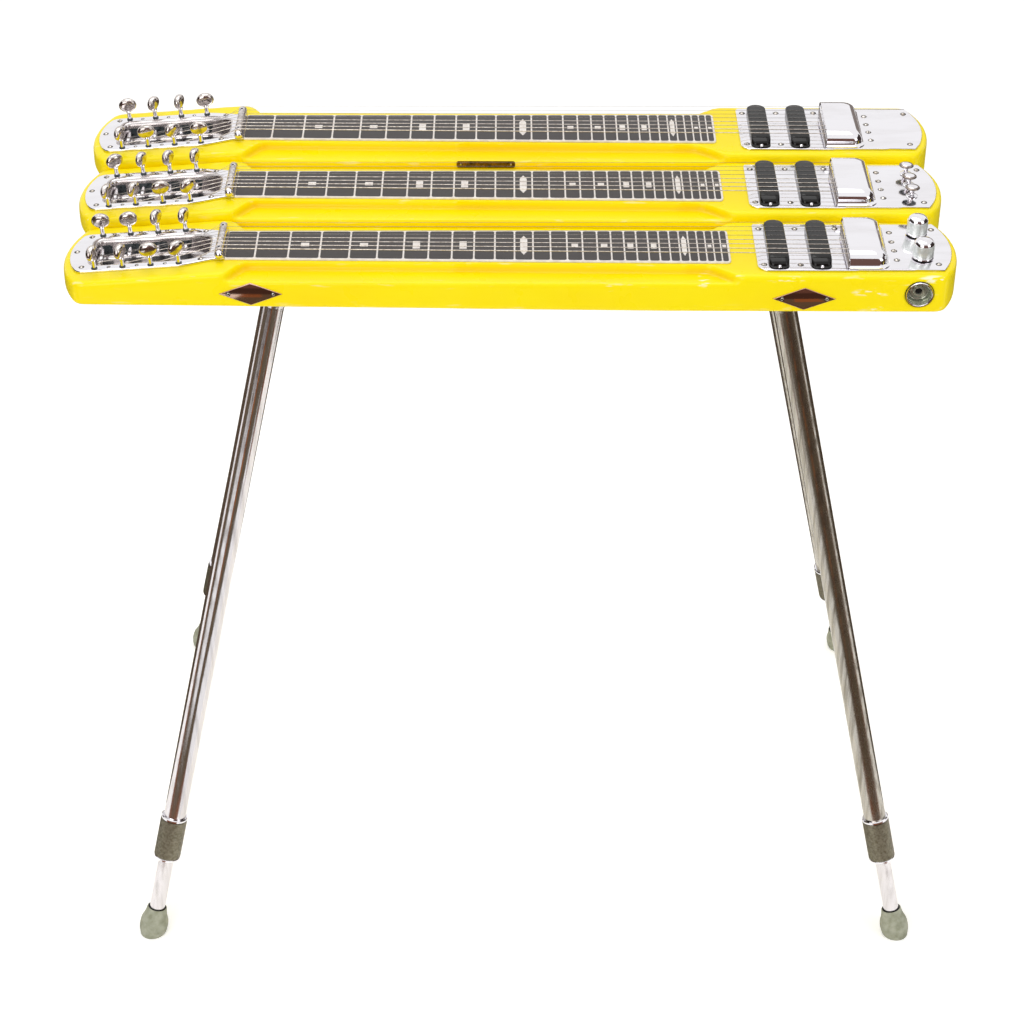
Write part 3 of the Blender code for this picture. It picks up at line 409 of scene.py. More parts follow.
# Nickel that has darkened: the selectors' rims, and the bridge's base, web and tail wall
RIM_NICKEL = Cast("darkened_nickel_rim", "#9A8E86", "#665C56", (0.22, 0.36), 1.0 * MM, 0.05)
# Nickel-plated screws
SCREW_NICKEL = Cast("nickel_plated_screw", "#DAD4CD", "#94897D", (0.15, 0.35), 1.0 * MM, 0.08)
# Plain steel and nickel-wound strings; the winding is drawn coarser than it is, to show
PLAIN_STEEL = Cast("plain_steel_string", "#8F8B87", "#6F6A66", (0.25, 0.35), 1.0 * MM, 0.0)
WOUND_NICKEL = Cast("nickel_wound_string", "#D6CFC6", "#A99E93", (0.3, 0.45), 0.7 * MM, 0.3)
# Knurled, tarnished steel of the leg collars
KNURLED_STEEL = Cast("knurled_steel", "#8C8673", "#6C6450", (0.34, 0.5), 0.9 * MM, 0.5, 0.55)
# Stamped bronze plate, dark with a gold sheen
BRONZE = Cast("patinated_bronze", "#86662A", "#352A14", (0.22, 0.4), 2.2 * MM, 0.1)
# Old crutch-tip rubber, grey-green
RUBBER = Moulded("grey_rubber", "#B0B19D", "#93957F", (0.6, 0.8), blotch=8 * MM, grain=0.3)

# Shapes


def arc(centre: Point, radius: float, start: float, end: float, steps: int) -> list[Point]:
    """Points on an arc.

    Args:
        centre: Its centre.
        radius: Its radius.
        start: Its first angle, in degrees.
        end: Its last angle, in degrees.
        steps: How many stretches it has.

    Returns:
        The points in order.
    """
    angles = [math.radians(start + (end - start) * i / steps) for i in range(steps + 1)]
    return [(centre[0] + radius * math.cos(a), centre[1] + radius * math.sin(a)) for a in angles]


def rounded_rectangle(x0: float, x1: float, half: float, corner: float, steps: int = 8) -> list[Point]:
    """A rectangle about the X axis with round corners.

    Args:
        x0: Its left side.
        x1: Its right side.
        half: Half its width along Y.
        corner: The corners' radius.
        steps: Stretches in each corner.

    Returns:
        Its outline.
    """
    return (arc((x1 - corner, corner - half), corner, -90, 0, steps)
            + arc((x1 - corner, half - corner), corner, 0, 90, steps)
            + arc((x0 + corner, half - corner), corner, 90, 180, steps)
            + arc((x0 + corner, corner - half), corner, 180, 270, steps))


def bulged_end(tip: float, half: float, bulge: float, corner: float, direction: int, steps: int = 28
               ) -> list[Point]:
    """One end of an outline: a wide arc that runs into its sides through small arcs.

    Args:
        tip: Where along X the end stops.
        half: Half the outline's width.
        bulge: How far the wide arc stands out past its own chord.
        corner: The small arcs' radius.
        direction: 1 for the right end, -1 for the left one.
        steps: Stretches in the wide arc.

    Returns:
        The end's points, counter-clockwise.
    """
    radius = (half * half + bulge * bulge) / (2 * bulge)
    reach = math.sqrt((radius - corner) ** 2 - (half - corner) ** 2)
    meet = math.degrees(math.atan2(half - corner, reach))
    points = (arc((reach, corner - half), corner, -90, -meet, 6)
              + arc((0.0, 0.0), radius, -meet, meet, steps)[1:-1]
              + arc((reach, half - corner), corner, meet, 90, 6))
    return [(tip + direction * (x - radius), direction * y) for x, y in points]


def smooth_step(share: float) -> float:
    """Ease a share between 0 and 1 in and out."""
    return share * share * (3 - 2 * share)


def slab(outlines: Sequence[Sequence[Point]], bottom: float, top: float) -> Shape:
    """A flat outline, with any holes in it, given a thickness.

    Args:
        outlines: The outer outline and the holes' outlines.
        bottom: The lower face's height.
        top: The upper face's height.

    Returns:
        The closed shape.
    """
    shape = bmesh.new()
    for outline in outlines:
        corners = [shape.verts.new((x, y, bottom)) for x, y in outline]
        for first, second in zip(corners, corners[1:] + corners[:1]):
            shape.edges.new((first, second))
    bmesh.ops.triangle_fill(shape, use_beauty=True, use_dissolve=False, edges=shape.edges[:],
                            normal=(0.0, 0.0, 1.0))
    bmesh.ops.dissolve_limit(shape, angle_limit=0.01, verts=shape.verts[:], edges=shape.edges[:])
    raised = bmesh.ops.extrude_face_region(shape, geom=shape.faces[:])
    lifted = [item for item in raised["geom"] if isinstance(item, bmesh.types.BMVert)]
    bmesh.ops.translate(shape, vec=(0.0, 0.0, top - bottom), verts=lifted)
    bmesh.ops.recalc_face_normals(shape, faces=shape.faces[:])
    return shape


def turned(profile: Sequence[Point], steps: int = 32, ring: bool = False) -> Shape:
    """A shape turned about Z.

    Args:
        profile: Points of (radius, height) in order.
        steps: Facets round it.
        ring: Whether the profile runs back to its first point, which makes a ring.

    Returns:
        The shape, closed at its poles.
    """
    if ring:
        profile = [*profile, profile[0]]
    shape = bmesh.new()
    points = [shape.verts.new((radius, 0.0, height)) for radius, height in profile]
    edges = [shape.edges.new(pair) for pair in zip(points, points[1:])]
    bmesh.ops.spin(shape, geom=points + edges, cent=(0.0, 0.0, 0.0), axis=(0.0, 0.0, 1.0),
                   angle=2 * math.pi, steps=steps, use_merge=True, use_duplicate=False)
    bmesh.ops.remove_doubles(shape, verts=shape.verts[:], dist=1e-6)
    bmesh.ops.recalc_face_normals(shape, faces=shape.faces[:])
    return shape


def drum(radius: float, bottom: float, top: float, steps: int) -> Shape:
    """A round disc or rod about Z."""
    return turned([(0.0, top), (radius, top), (radius, bottom), (0.0, bottom)], steps)


def lofted(rings: Sequence[Sequence[Vector]], caps: tuple[bool, bool] = (True, True)) -> Shape:
    """A skin over closed rings with equal numbers of points.

    Args:
        rings: The rings in order.
        caps: Whether the first and the last ring are filled.

    Returns:
        The skin.
    """
    shape = bmesh.new()
    loops = []
    for ring in rings:
        points = [shape.verts.new(place) for place in ring]
        loops.append([shape.edges.new(pair) for pair in zip(points, points[1:] + points[:1])])
    for first, second in zip(loops, loops[1:]):
        bmesh.ops.bridge_loops(shape, edges=first + second)
    for wanted, loop in zip(caps, (loops[0], loops[-1])):
        if wanted:
            bmesh.ops.edgeloop_fill(shape, edges=loop)
    bmesh.ops.recalc_face_normals(shape, faces=shape.faces[:])
    return shape


def swept(points: Sequence[Vector], radius: float, sides: int = 8) -> Shape:
    """A round wire or rod along a line of points.

    Args:
        points: The line.
        radius: The wire's radius.
        sides: Facets round it.

    Returns:
        The closed wire.
    """
    reach = zip([points[0], *points], [*points[1:], points[-1]])
    ways = [(after - before).normalized() for before, after in reach]
    turn = Vector((0.0, 0.0, 1.0)).rotation_difference(ways[0])
    frames = [Matrix.Translation(points[0]) @ turn.to_matrix().to_4x4()]
    for place, before, way in zip(points[1:], ways, ways[1:]):
        turn = before.rotation_difference(way) @ turn
        frames.append(Matrix.Translation(place) @ turn.to_matrix().to_4x4())
    shape = bmesh.new()
    bmesh.ops.create_circle(shape, cap_ends=True, radius=radius, segments=sides, matrix=frames[0])
    loop = shape.edges[:]
    for before, frame in zip(frames, frames[1:]):
        grown = bmesh.ops.extrude_edge_only(shape, edges=loop)["geom"]
        ring = [item for item in grown if isinstance(item, bmesh.types.BMVert)]
        corners = set(ring)
        bmesh.ops.transform(shape, matrix=frame @ before.inverted(), verts=ring)
        edges = [item for item in grown if isinstance(item, bmesh.types.BMEdge)]
        loop = [edge for edge in edges if corners.issuperset(edge.verts)]
    bmesh.ops.edgeloop_fill(shape, edges=loop)
    bmesh.ops.recalc_face_normals(shape, faces=shape.faces[:])
    return shape


def bevelled(shape: Shape, chosen: Callable[[Vector, Vector, Vector], bool], radius: float,
             segments: int) -> Shape:
    """Round the edges that a test picks.

    Args:
        shape: The shape to round.
        chosen: Reads an edge's two face normals and its middle.
        radius: The rounding's radius.
        segments: Its facets.

    Returns:
        The same shape.
    """
    shape.normal_update()
    picked = []
    for edge in shape.edges:
        if len(edge.link_faces) == 2:
            middle = (edge.verts[0].co + edge.verts[1].co) / 2
            if chosen(edge.link_faces[0].normal, edge.link_faces[1].normal, middle):
                picked.append(edge)
    bmesh.ops.bevel(shape, geom=picked, offset=radius, offset_type="OFFSET", segments=segments, profile=0.5,
                    affect="EDGES", material=-1, clamp_overlap=True)
    return shape


def top_rim(first: Vector, second: Vector, middle: Vector) -> bool:
    """Whether an edge lies between a level top and a side."""
    return max(first.z, second.z) > 0.9 and min(first.z, second.z) < 0.3


def bottom_rim(first: Vector, second: Vector, middle: Vector) -> bool:
    """Whether an edge lies between a level underside and a side."""
    return min(first.z, second.z) < -0.9 and max(first.z, second.z) > -0.3


def mesh_of(shape: Shape, name: str) -> Mesh:
    """Write a shape to a new mesh and free it.

    Args:
        shape: The shape, which is used up.
        name: The mesh's name.

    Returns:
        The mesh.
    """
    mesh = bpy.data.meshes.new(name)
    shape.to_mesh(mesh)
    shape.free()
    return mesh


def modified(mesh: Mesh, steps: Sequence[tuple[str, dict]]) -> Mesh:
    """Run modifiers over a mesh and keep what comes out.

    Args:
        mesh: The mesh to change.
        steps: Each modifier's type and its settings; a mesh given as "object" is wrapped first.

    Returns:
        The new mesh.
    """
    host = bpy.data.objects.new("work", mesh)
    bpy.context.scene.collection.objects.link(host)
    helpers = [host]
    for kind, settings in steps:
        step = host.modifiers.new(kind.lower(), kind)
        for name, value in settings.items():
            if isinstance(value, Mesh):
                value = bpy.data.objects.new("cutter", value)
                bpy.context.scene.collection.objects.link(value)
                helpers.append(value)
            setattr(step, name, value)
    bpy.context.view_layer.update()
    graph = bpy.context.evaluated_depsgraph_get()
    result = bpy.data.meshes.new_from_object(host.evaluated_get(graph))
    for helper in helpers:
        bpy.data.objects.remove(helper, do_unlink=True)
    return result


class Piece:
    """One piece of the object, gathered from shapes of one or more finishes."""

    def __init__(self, name: str) -> None:
        """Start an empty piece.

        Args:
            name: The piece's name.
        """
        self.name = name
        self.shape = bmesh.new()
        self.finishes: list[Finish] = []

    def add(self, shape: Shape, finish: Finish, place: Matrix = Matrix()) -> None:
        """Add a shape in a finish at a place; the shape is used up.

        Args:
            shape: The shape in its own frame.
            finish: What it is finished in.
            place: Where it goes.
        """
        if finish not in self.finishes:
            self.finishes.append(finish)
        for face in shape.faces:
            face.material_index = self.finishes.index(finish)
            face.smooth = True
        bmesh.ops.transform(shape, matrix=place, verts=shape.verts[:])
        mesh = mesh_of(shape, "part")
        self.shape.from_mesh(mesh)
        bpy.data.meshes.remove(mesh)

    def dress(self, place: Matrix, body: str, slot: Slot, *nodes: str, angle: float = SMOOTH_ANGLE) -> None:
        """Make the piece's object and tie it to the CAD frame.

        Args:
            place: From the piece's frame to the scene's.
            body: The CAD body that it rides on.
            slot: The record's slot for its finish.
            *nodes: The CAD nodes that it replaces.
            angle: Sharper edges than this stay sharp.
        """
        mesh = mesh_of(self.shape, self.name)
        mesh.transform(place)
        for finish in self.finishes:
            mesh.materials.append(finish.material())
        settle(self.name, mesh, body, slot, *nodes, angle=angle)


def settle(name: str, mesh: Mesh, body: str, slot: Slot, *nodes: str, angle: float = SMOOTH_ANGLE
           ) -> None:
    """Make an object of a finished mesh, smooth it, and tie it to the CAD frame.

    Args:
        name: The piece's name.
        mesh: Its mesh, in place.
        body: The CAD body that it rides on.
        slot: The record's slot for its finish; not used.
        *nodes: The CAD nodes that it replaces.
        angle: Sharper edges than this stay sharp.
    """
    mesh.name = name
    mesh.shade_smooth()
    mesh.set_sharp_from_angle(angle=angle)
    item = bpy.data.objects.new(name, mesh)
    bpy.context.scene.collection.objects.link(item)
    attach(item, body)
    if nodes:
        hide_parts(*nodes)
    log.info("%s: %d faces on %s", name, len(mesh.polygons), body)


def at(x: float, y: float, z: float = 0.0, turn: float = 0.0) -> Matrix:
    """A place, turned about Z by degrees."""
    return Matrix.Translation((x, y, z)) @ Matrix.Rotation(math.radians(turn), 4, "Z")


def upright(x: float, y: float, z: float, side: int = 1) -> Matrix:
    """A place whose Z runs along Y: towards the player, or away with a side of -1."""
    return Matrix.Translation((x, y, z)) @ Matrix.Rotation(side * math.pi / 2, 4, "X")


def spot(x: float, y: float, z: float) -> Vector:
    """A point."""
    return Vector((x, y, z))


@dataclass
class Screw:
    """A slotted dome-head screw; its slot is a dark strip of painted shade along the dome, and a ring of
    painted shade circles its seat.
    """

    radius: float = 2.4 * MM
    height: float = 1.3 * MM
    slot: float = 0.35 * MM

    def fit(self, piece: Piece, place: Matrix, finish: Finish = SCREW_NICKEL) -> None:
        """Add the screw to a piece.

        Args:
            piece: The piece that it holds.
            place: Where its head sits, facing Z.
            finish: What it is plated with.
        """
        ball = (self.radius ** 2 + self.height ** 2) / (2 * self.height)
        spread = math.degrees(math.asin(self.radius / ball))
        centre = (0.0, self.height - ball)
        dome = arc(centre, ball, 90, 90 - spread, 6)
        piece.add(turned(dome + [(0.0, 0.0)], 16), finish, place)
        # The slot and the ring round the seat are painted shade
        across = arc(centre, ball + 0.04 * MM, 90 - spread * 0.92, 90 + spread * 0.92, 8)
        strip = slab([across], -self.slot, self.slot)
        piece.add(strip, PAINTED_SHADE, place @ Matrix.Rotation(math.pi / 2, 4, "X"))
        seat = self.radius + 0.4 * MM
        ring = turned([(0.0, 0.14 * MM), (seat - 0.1 * MM, 0.14 * MM), (seat, 0.0), (0.0, 0.0)], 16)
        piece.add(ring, PAINTED_SHADE, place)


# Sizes that the necks' pieces share, in one neck's frame: X from the nut towards the bridge,
# Y across from the middle line, Z up from the top of the wood

HALF_WIDTH = 53.85 * MM
THICK = 38.0 * MM
HEAD_END_X = -151.0 * MM
TAIL_END_X = 676.0 * MM
END_BULGE = 16.5 * MM
CREASE_X = -8.0 * MM
HEAD_TILT = math.radians(4.5)
PLATE_TOP = 1.9 * MM
STRINGS = 8
POST_X = -40.5 * MM
POST_PITCH = 26.0 * MM
NUT_X = -3.5 * MM
SADDLE_X = 575.0 * MM
JACK_PLACE = mm(636.5, -18.1)
# How far each key is turned at rest, in degrees, far side first, from the nut outwards
KEY_TURNS = {"front": (70, 68, 8, 0, 40, 8, 70, 74), "middle": (74, 66, 70, 35, 40, 12, 66, 74),
             "rear": (12, 74, 66, 8, 8, 45, 12, 70)}
KNOB_Y = {"volume_knob": -20.5 * MM, "tone_knob": 24.5 * MM}
SELECTOR_Y = {"front_selector_button": -21.0 * MM, "middle_selector_button": 2.0 * MM,
              "rear_selector_button": 25.0 * MM}


@dataclass(frozen=True)
class Neck:
    """One of the three necks: its name, its place in the scene and its sloping head's frame."""

    name: str

    @property
    def frame(self) -> Matrix:
        """From the neck's frame to the scene's."""
        low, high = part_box(f"{self.name}_body")
        return Matrix.Translation((low.x - HEAD_END_X, (low.y + high.y) / 2, high.z))

    @property
    def head(self) -> Matrix:
        """From the sloping head's frame to the scene's."""
        return self.frame @ head_slope()

    def node(self, part: str) -> str:
        """A CAD node's name on this neck."""
        return f"{self.name}_{part}"


def head_slope() -> Matrix:
    """From the head's frame, which slopes down from the crease, to its neck's."""
    crease = Matrix.Translation((CREASE_X, 0.0, 0.0))
    return crease @ Matrix.Rotation(-HEAD_TILT, 4, "Y") @ crease.inverted()


def board_half(x: float) -> float:
    """Half the fretboard's width at a place along it."""
    return (26.0 + 4.2 * x / (467.5 * MM)) * MM


@dataclass
class Body:
    """A neck's solid block: bulged ends, a sloping head, and ledges scooped beside the board."""

    corner: float = 12.0 * MM
    top_round: float = 4.5 * MM
    bottom_round: float = 3.5 * MM
    thin: float = 5.2 * MM
    flat_x: float = 400.0 * MM
    scoop_depth: float = 8.0 * MM
    cove: float = 5.0 * MM
    scoop_start: float = 22.0 * MM
    scoop_end: float = 440.0 * MM
    runs: Point = mm(26.0, 40.0)
    lip: float = 2.5 * MM
    pocket_depth: float = 19.6 * MM
    cavity: tuple[float, ...] = mm(497.0, 656.0, 39.0, -26.0)
    jack_radius: float = 12.3 * MM
    voxel: float = 1.9 * MM
    scuffs: tuple[tuple[float, ...], ...] = mm(
        (594.0, -16.0, 17.0, 3.0), (597.0, -33.0, 6.0, 2.6), (440.0, -9.0, 5.0, 1.4),
        (353.0, -12.5, 4.0, 2.0), (648.0, -3.0, 12.0, 2.5), (515.0, -3.0, 16.0, 2.0))

    def underside(self, x: float) -> float:
        """The underside's height at a place along the block, which thins towards the head."""
        return self.thin * max(0.0, (self.flat_x - x) / (self.flat_x - HEAD_END_X)) - THICK

    def blank(self) -> Shape:
        """The block before it is carved.

        Returns:
            Its shape, in the neck's frame.
        """
        outline = (bulged_end(TAIL_END_X, HALF_WIDTH, END_BULGE, self.corner, 1)
                   + bulged_end(HEAD_END_X, HALF_WIDTH, END_BULGE, self.corner, -1))
        shape = slab([outline], -THICK, 0.0)
        for x in (CREASE_X, self.flat_x):
            bmesh.ops.bisect_plane(shape, geom=shape.verts[:] + shape.edges[:] + shape.faces[:],
                                   plane_co=(x, 0.0, 0.0), plane_no=(1.0, 0.0, 0.0))
        for corner in shape.verts:
            if corner.co.z < -THICK / 2:
                corner.co.z = self.underside(corner.co.x)
            elif corner.co.x < CREASE_X:
                corner.co.z -= (CREASE_X - corner.co.x) * math.tan(HEAD_TILT)
        bevelled(shape, top_rim, self.top_round, 4)
        return bevelled(shape, bottom_rim, self.bottom_round, 4)

    def scoop(self, side: int) -> Shape:
        """What is carved away on one side of the board: a ledge with a coved inner wall.

        Args:
            side: 1 for the far side, -1 for the player's.

        Returns:
            The cutter.
        """
        steps = 20
        inner = []
        ends = ((self.scoop_start, -self.runs[0], True), (self.scoop_end, self.runs[1], False))
        for x, run, outward in ends:
            wall = board_half(x) + self.lip
            for i in range(steps + 1):
                share = 1 - i / steps if outward else i / steps
                inner.append((x + run * share, wall + (HALF_WIDTH - wall + 1.0 * MM) * smooth_step(share)))
        outer = HALF_WIDTH + 12.0 * MM
        outline = inner + [(inner[-1][0], outer), (inner[0][0], outer)]
        shape = slab([[(x, side * y) for x, y in outline]], -self.scoop_depth, 12.0 * MM)

        def foot_of_wall(first: Vector, second: Vector, middle: Vector) -> bool:
            """Whether an edge lies at the foot of the ledge's inner wall.

            Args:
                first: One end.
                second: The other end.
                middle: Its middle.

            Returns:
                Whether it does.
            """
            return bottom_rim(first, second, middle) and abs(middle.y) < outer - 1.0 * MM

        return bevelled(shape, foot_of_wall, self.cove, 5)

    def scuffed(self, mesh: Mesh) -> None:
        """Mark the places on the player's side that are knocked and scratched.

        Args:
            mesh: The block's mesh, in the neck's frame.
        """
        layer = mesh.attributes.new("scuff", "FLOAT", "POINT")
        places = np.empty(len(mesh.vertices) * 3, dtype=np.float32)
        mesh.vertices.foreach_get("co", places)
        places = places.reshape(-1, 3)
        share = np.zeros(len(places), dtype=np.float32)
        for x, z, long, tall in self.scuffs:
            far = ((places[:, 0] - x) / long) ** 2 + ((places[:, 2] - z) / tall) ** 2
            share = np.maximum(share, np.where(places[:, 1] < 0.0, np.clip(1.6 - far, 0.0, 1.0), 0.0))
        layer.data.foreach_set("value", share.astype(np.float32))

    def jack_hole(self) -> Shape:
        """The round hole for the jack's cup in the player's side.

        Returns:
            The cutter.
        """
        hole = drum(self.jack_radius, -16.0 * MM, 2.0 * MM, 48)
        x, z = JACK_PLACE
        bmesh.ops.transform(hole, matrix=upright(x, -HALF_WIDTH, z), verts=hole.verts[:])
        return hole

    def mesh(self, with_jack: bool) -> Mesh:
        """Carve the block, then give it the soft edges that sanding and lacquer leave.

        Args:
            with_jack: Whether this is the front neck, which the jack is in.

        Returns:
            The block's mesh with its wear and its coves' painted shade marked.
        """
        pocket = slab([TunerPan().opening(5.2 * MM)], -self.pocket_depth, 14.0 * MM)
        bmesh.ops.transform(pocket, matrix=head_slope(), verts=pocket.verts[:])
        left, right, half, floor = self.cavity
        cavity = slab([rounded_rectangle(left, right, half, 8.0 * MM)], floor, 14.0 * MM)
        cutters = [self.scoop(1), self.scoop(-1), pocket, cavity]
        if with_jack:
            cutters.append(self.jack_hole())
        steps = [("BOOLEAN", {"operation": "DIFFERENCE", "solver": "EXACT", "object": mesh_of(c, "cutter")})
                 for c in cutters]
        steps.append(("REMESH", {"mode": "VOXEL", "voxel_size": self.voxel, "use_smooth_shade": True}))
        steps.append(("SMOOTH", {"factor": 0.5, "iterations": 5}))
        mesh = modified(mesh_of(self.blank(), "blank"), steps)
        # Edges for chips, and coves for painted shade
        mark_wear_and_cove_shade(mesh, 0.15 * MM)
        if with_jack:
            self.scuffed(mesh)
        return mesh

    def build(self, neck: Neck, mesh: Mesh) -> None:
        """Dress one neck's block.

        Args:
            neck: The neck.
            mesh: The block's mesh, in the neck's frame.
        """
        mesh = mesh.copy()
        mesh.transform(neck.frame)
        mesh.materials.append(LACQUER.material())
        settle(neck.node("wood"), mesh, "root", Slot.ENAMEL, neck.node("body"), angle=math.radians(60))


def mark_wear_and_cove_shade(mesh: Mesh, reach: float, passes: int = 6) -> None:
    """Mark a mesh's convex places as "edge", for chipped wear, and its hollow ones as "cove", for painted
    shade.

    Args:
        mesh: An evenly meshed surface.
        reach: The bend, as a vertex's height over its neighbours, that counts as full.
        passes: How often the bend is spread over the neighbours.
    """
    count = len(mesh.vertices)
    places = np.empty(count * 3, dtype=np.float32)
    normals = np.empty(count * 3, dtype=np.float32)
    pairs = np.empty(len(mesh.edges) * 2, dtype=np.int32)
    mesh.vertices.foreach_get("co", places)
    mesh.vertices.foreach_get("normal", normals)
    mesh.edges.foreach_get("vertices", pairs)
    places, normals, pairs = places.reshape(-1, 3), normals.reshape(-1, 3), pairs.reshape(-1, 2)
    links = np.maximum(np.bincount(pairs.ravel(), minlength=count), 1)

    def averaged(values: np.ndarray) -> np.ndarray:
        """Each vertex's neighbours' mean.

        Args:
            values: A value for each vertex.

        Returns:
            The means, in the same order.
        """
        total = np.bincount(pairs[:, 0], values[pairs[:, 1]], count)
        total += np.bincount(pairs[:, 1], values[pairs[:, 0]], count)
        return total / links

    mean = np.stack([averaged(places[:, axis]) for axis in range(3)], axis=1)
    bend = ((places - mean) * normals).sum(axis=1)
    for _ in range(passes):
        bend = (bend + averaged(bend)) / 2
    # The "cove" mark carries painted shade; the "edge" mark carries chipped wear
    for name, values in (("edge", bend), ("cove", -bend)):
        layer = mesh.attributes.new(name, "FLOAT", "POINT")
        layer.data.foreach_set("value", np.clip(values / reach, 0.0, 1.0).astype(np.float32))


@dataclass
class Fretboard:
    """A printed board: black cells between white fret lines, with blocks and bars as marks."""

    frets: int = 29
    nut_x: float = -4.2 * MM
    scale: float = 576.0 * MM
    start: float = 0.8 * MM
    top: float = 2.2 * MM
    border: float = 1.6 * MM
    end_border: float = 1.4 * MM
    print_rise: float = 0.12 * MM
    cell_corner: float = 2.0 * MM
    end_corner: float = 4.0 * MM
    bar_point: float = 7.0 * MM
    line: Point = mm(1.7, 1.3)

    def fret(self, number: int) -> float:
        """A fret's place, counted from where the strings leave the nut."""
        return self.nut_x + self.scale * (1 - 2 ** (-number / 12))

    def tapered(self, shape: Shape, middle: float) -> Shape:
        """Widen a shape made at one place so that it follows the board's taper.

        Args:
            shape: The shape.
            middle: Where along the board it was made.

        Returns:
            The same shape.
        """
        for corner in shape.verts:
            corner.co.y *= board_half(corner.co.x) / board_half(middle)
        return shape

    def mark(self, number: int) -> list[Point] | None:
        """The outline of the mark behind a fret.

        Args:
            number: The fret.

        Returns:
            The outline about the origin, or None where the board has no mark.
        """
        blocks = {3: (7.5, 6.6), 5: (7.5, 6.6), 7: (6.7, 14.0), 9: (6.7, 14.0), 15: (6.0, 6.5),
                  17: (6.0, 6.5), 19: (5.6, 11.0), 21: (5.2, 11.0), 27: (3.6, 4.5), 29: (3.4, 4.5)}
        bars = {12: (6.7, 36.0), 24: (4.6, 38.0)}
        if number in blocks:
            wide, tall = (size / 2 * MM for size in blocks[number])
            return [(-wide, -tall), (wide, -tall), (wide, tall), (-wide, tall)]
        if number in bars:
            wide, tall = (size / 2 * MM for size in bars[number])
            flank = tall - self.bar_point
            return [(-wide, -flank), (0.0, -tall), (wide, -flank), (wide, flank), (0.0, tall), (-wide, flank)]
        return None

    def build(self, neck: Neck) -> None:
        """Dress one neck's board.

        Args:
            neck: The neck.
        """
        piece = Piece(neck.node("printed_board"))
        length = self.fret(self.frets) + self.end_border
        corner = self.end_corner
        middle = board_half(length) - corner
        outline = [(self.start, -board_half(self.start))]
        outline += arc((length - corner, -middle), corner, -90, 0, 6)
        outline += arc((length - corner, middle), corner, 0, 90, 6)
        outline += [(self.start, board_half(self.start))]
        top = self.top - 2 * self.print_rise
        board = bevelled(slab([outline], 0.3 * MM, top), top_rim, 0.35 * MM, 2)
        piece.add(board, BOARD_CREAM)
        for number in range(1, self.frets + 1):
            line = self.line[0] + (self.line[1] - self.line[0]) * number / self.frets
            left = max(self.fret(number - 1) + line / 2, self.start + 0.4 * MM)
            right = self.fret(number) - line / 2
            middle = (left + right) / 2
            corner = min(self.cell_corner, (right - left) * 0.4)
            cell = rounded_rectangle(left, right, board_half(middle) - self.border, corner, 4)
            piece.add(self.tapered(slab([cell], top - 0.1 * MM, top + self.print_rise), middle), BOARD_BLACK)
            mark = self.mark(number)
            if mark:
                piece.add(slab([mark], top, self.top), BOARD_CREAM, at(middle, 0.0))
        piece.dress(neck.frame, "root", Slot.BOARD, neck.node("fretboard"), angle=math.radians(20))


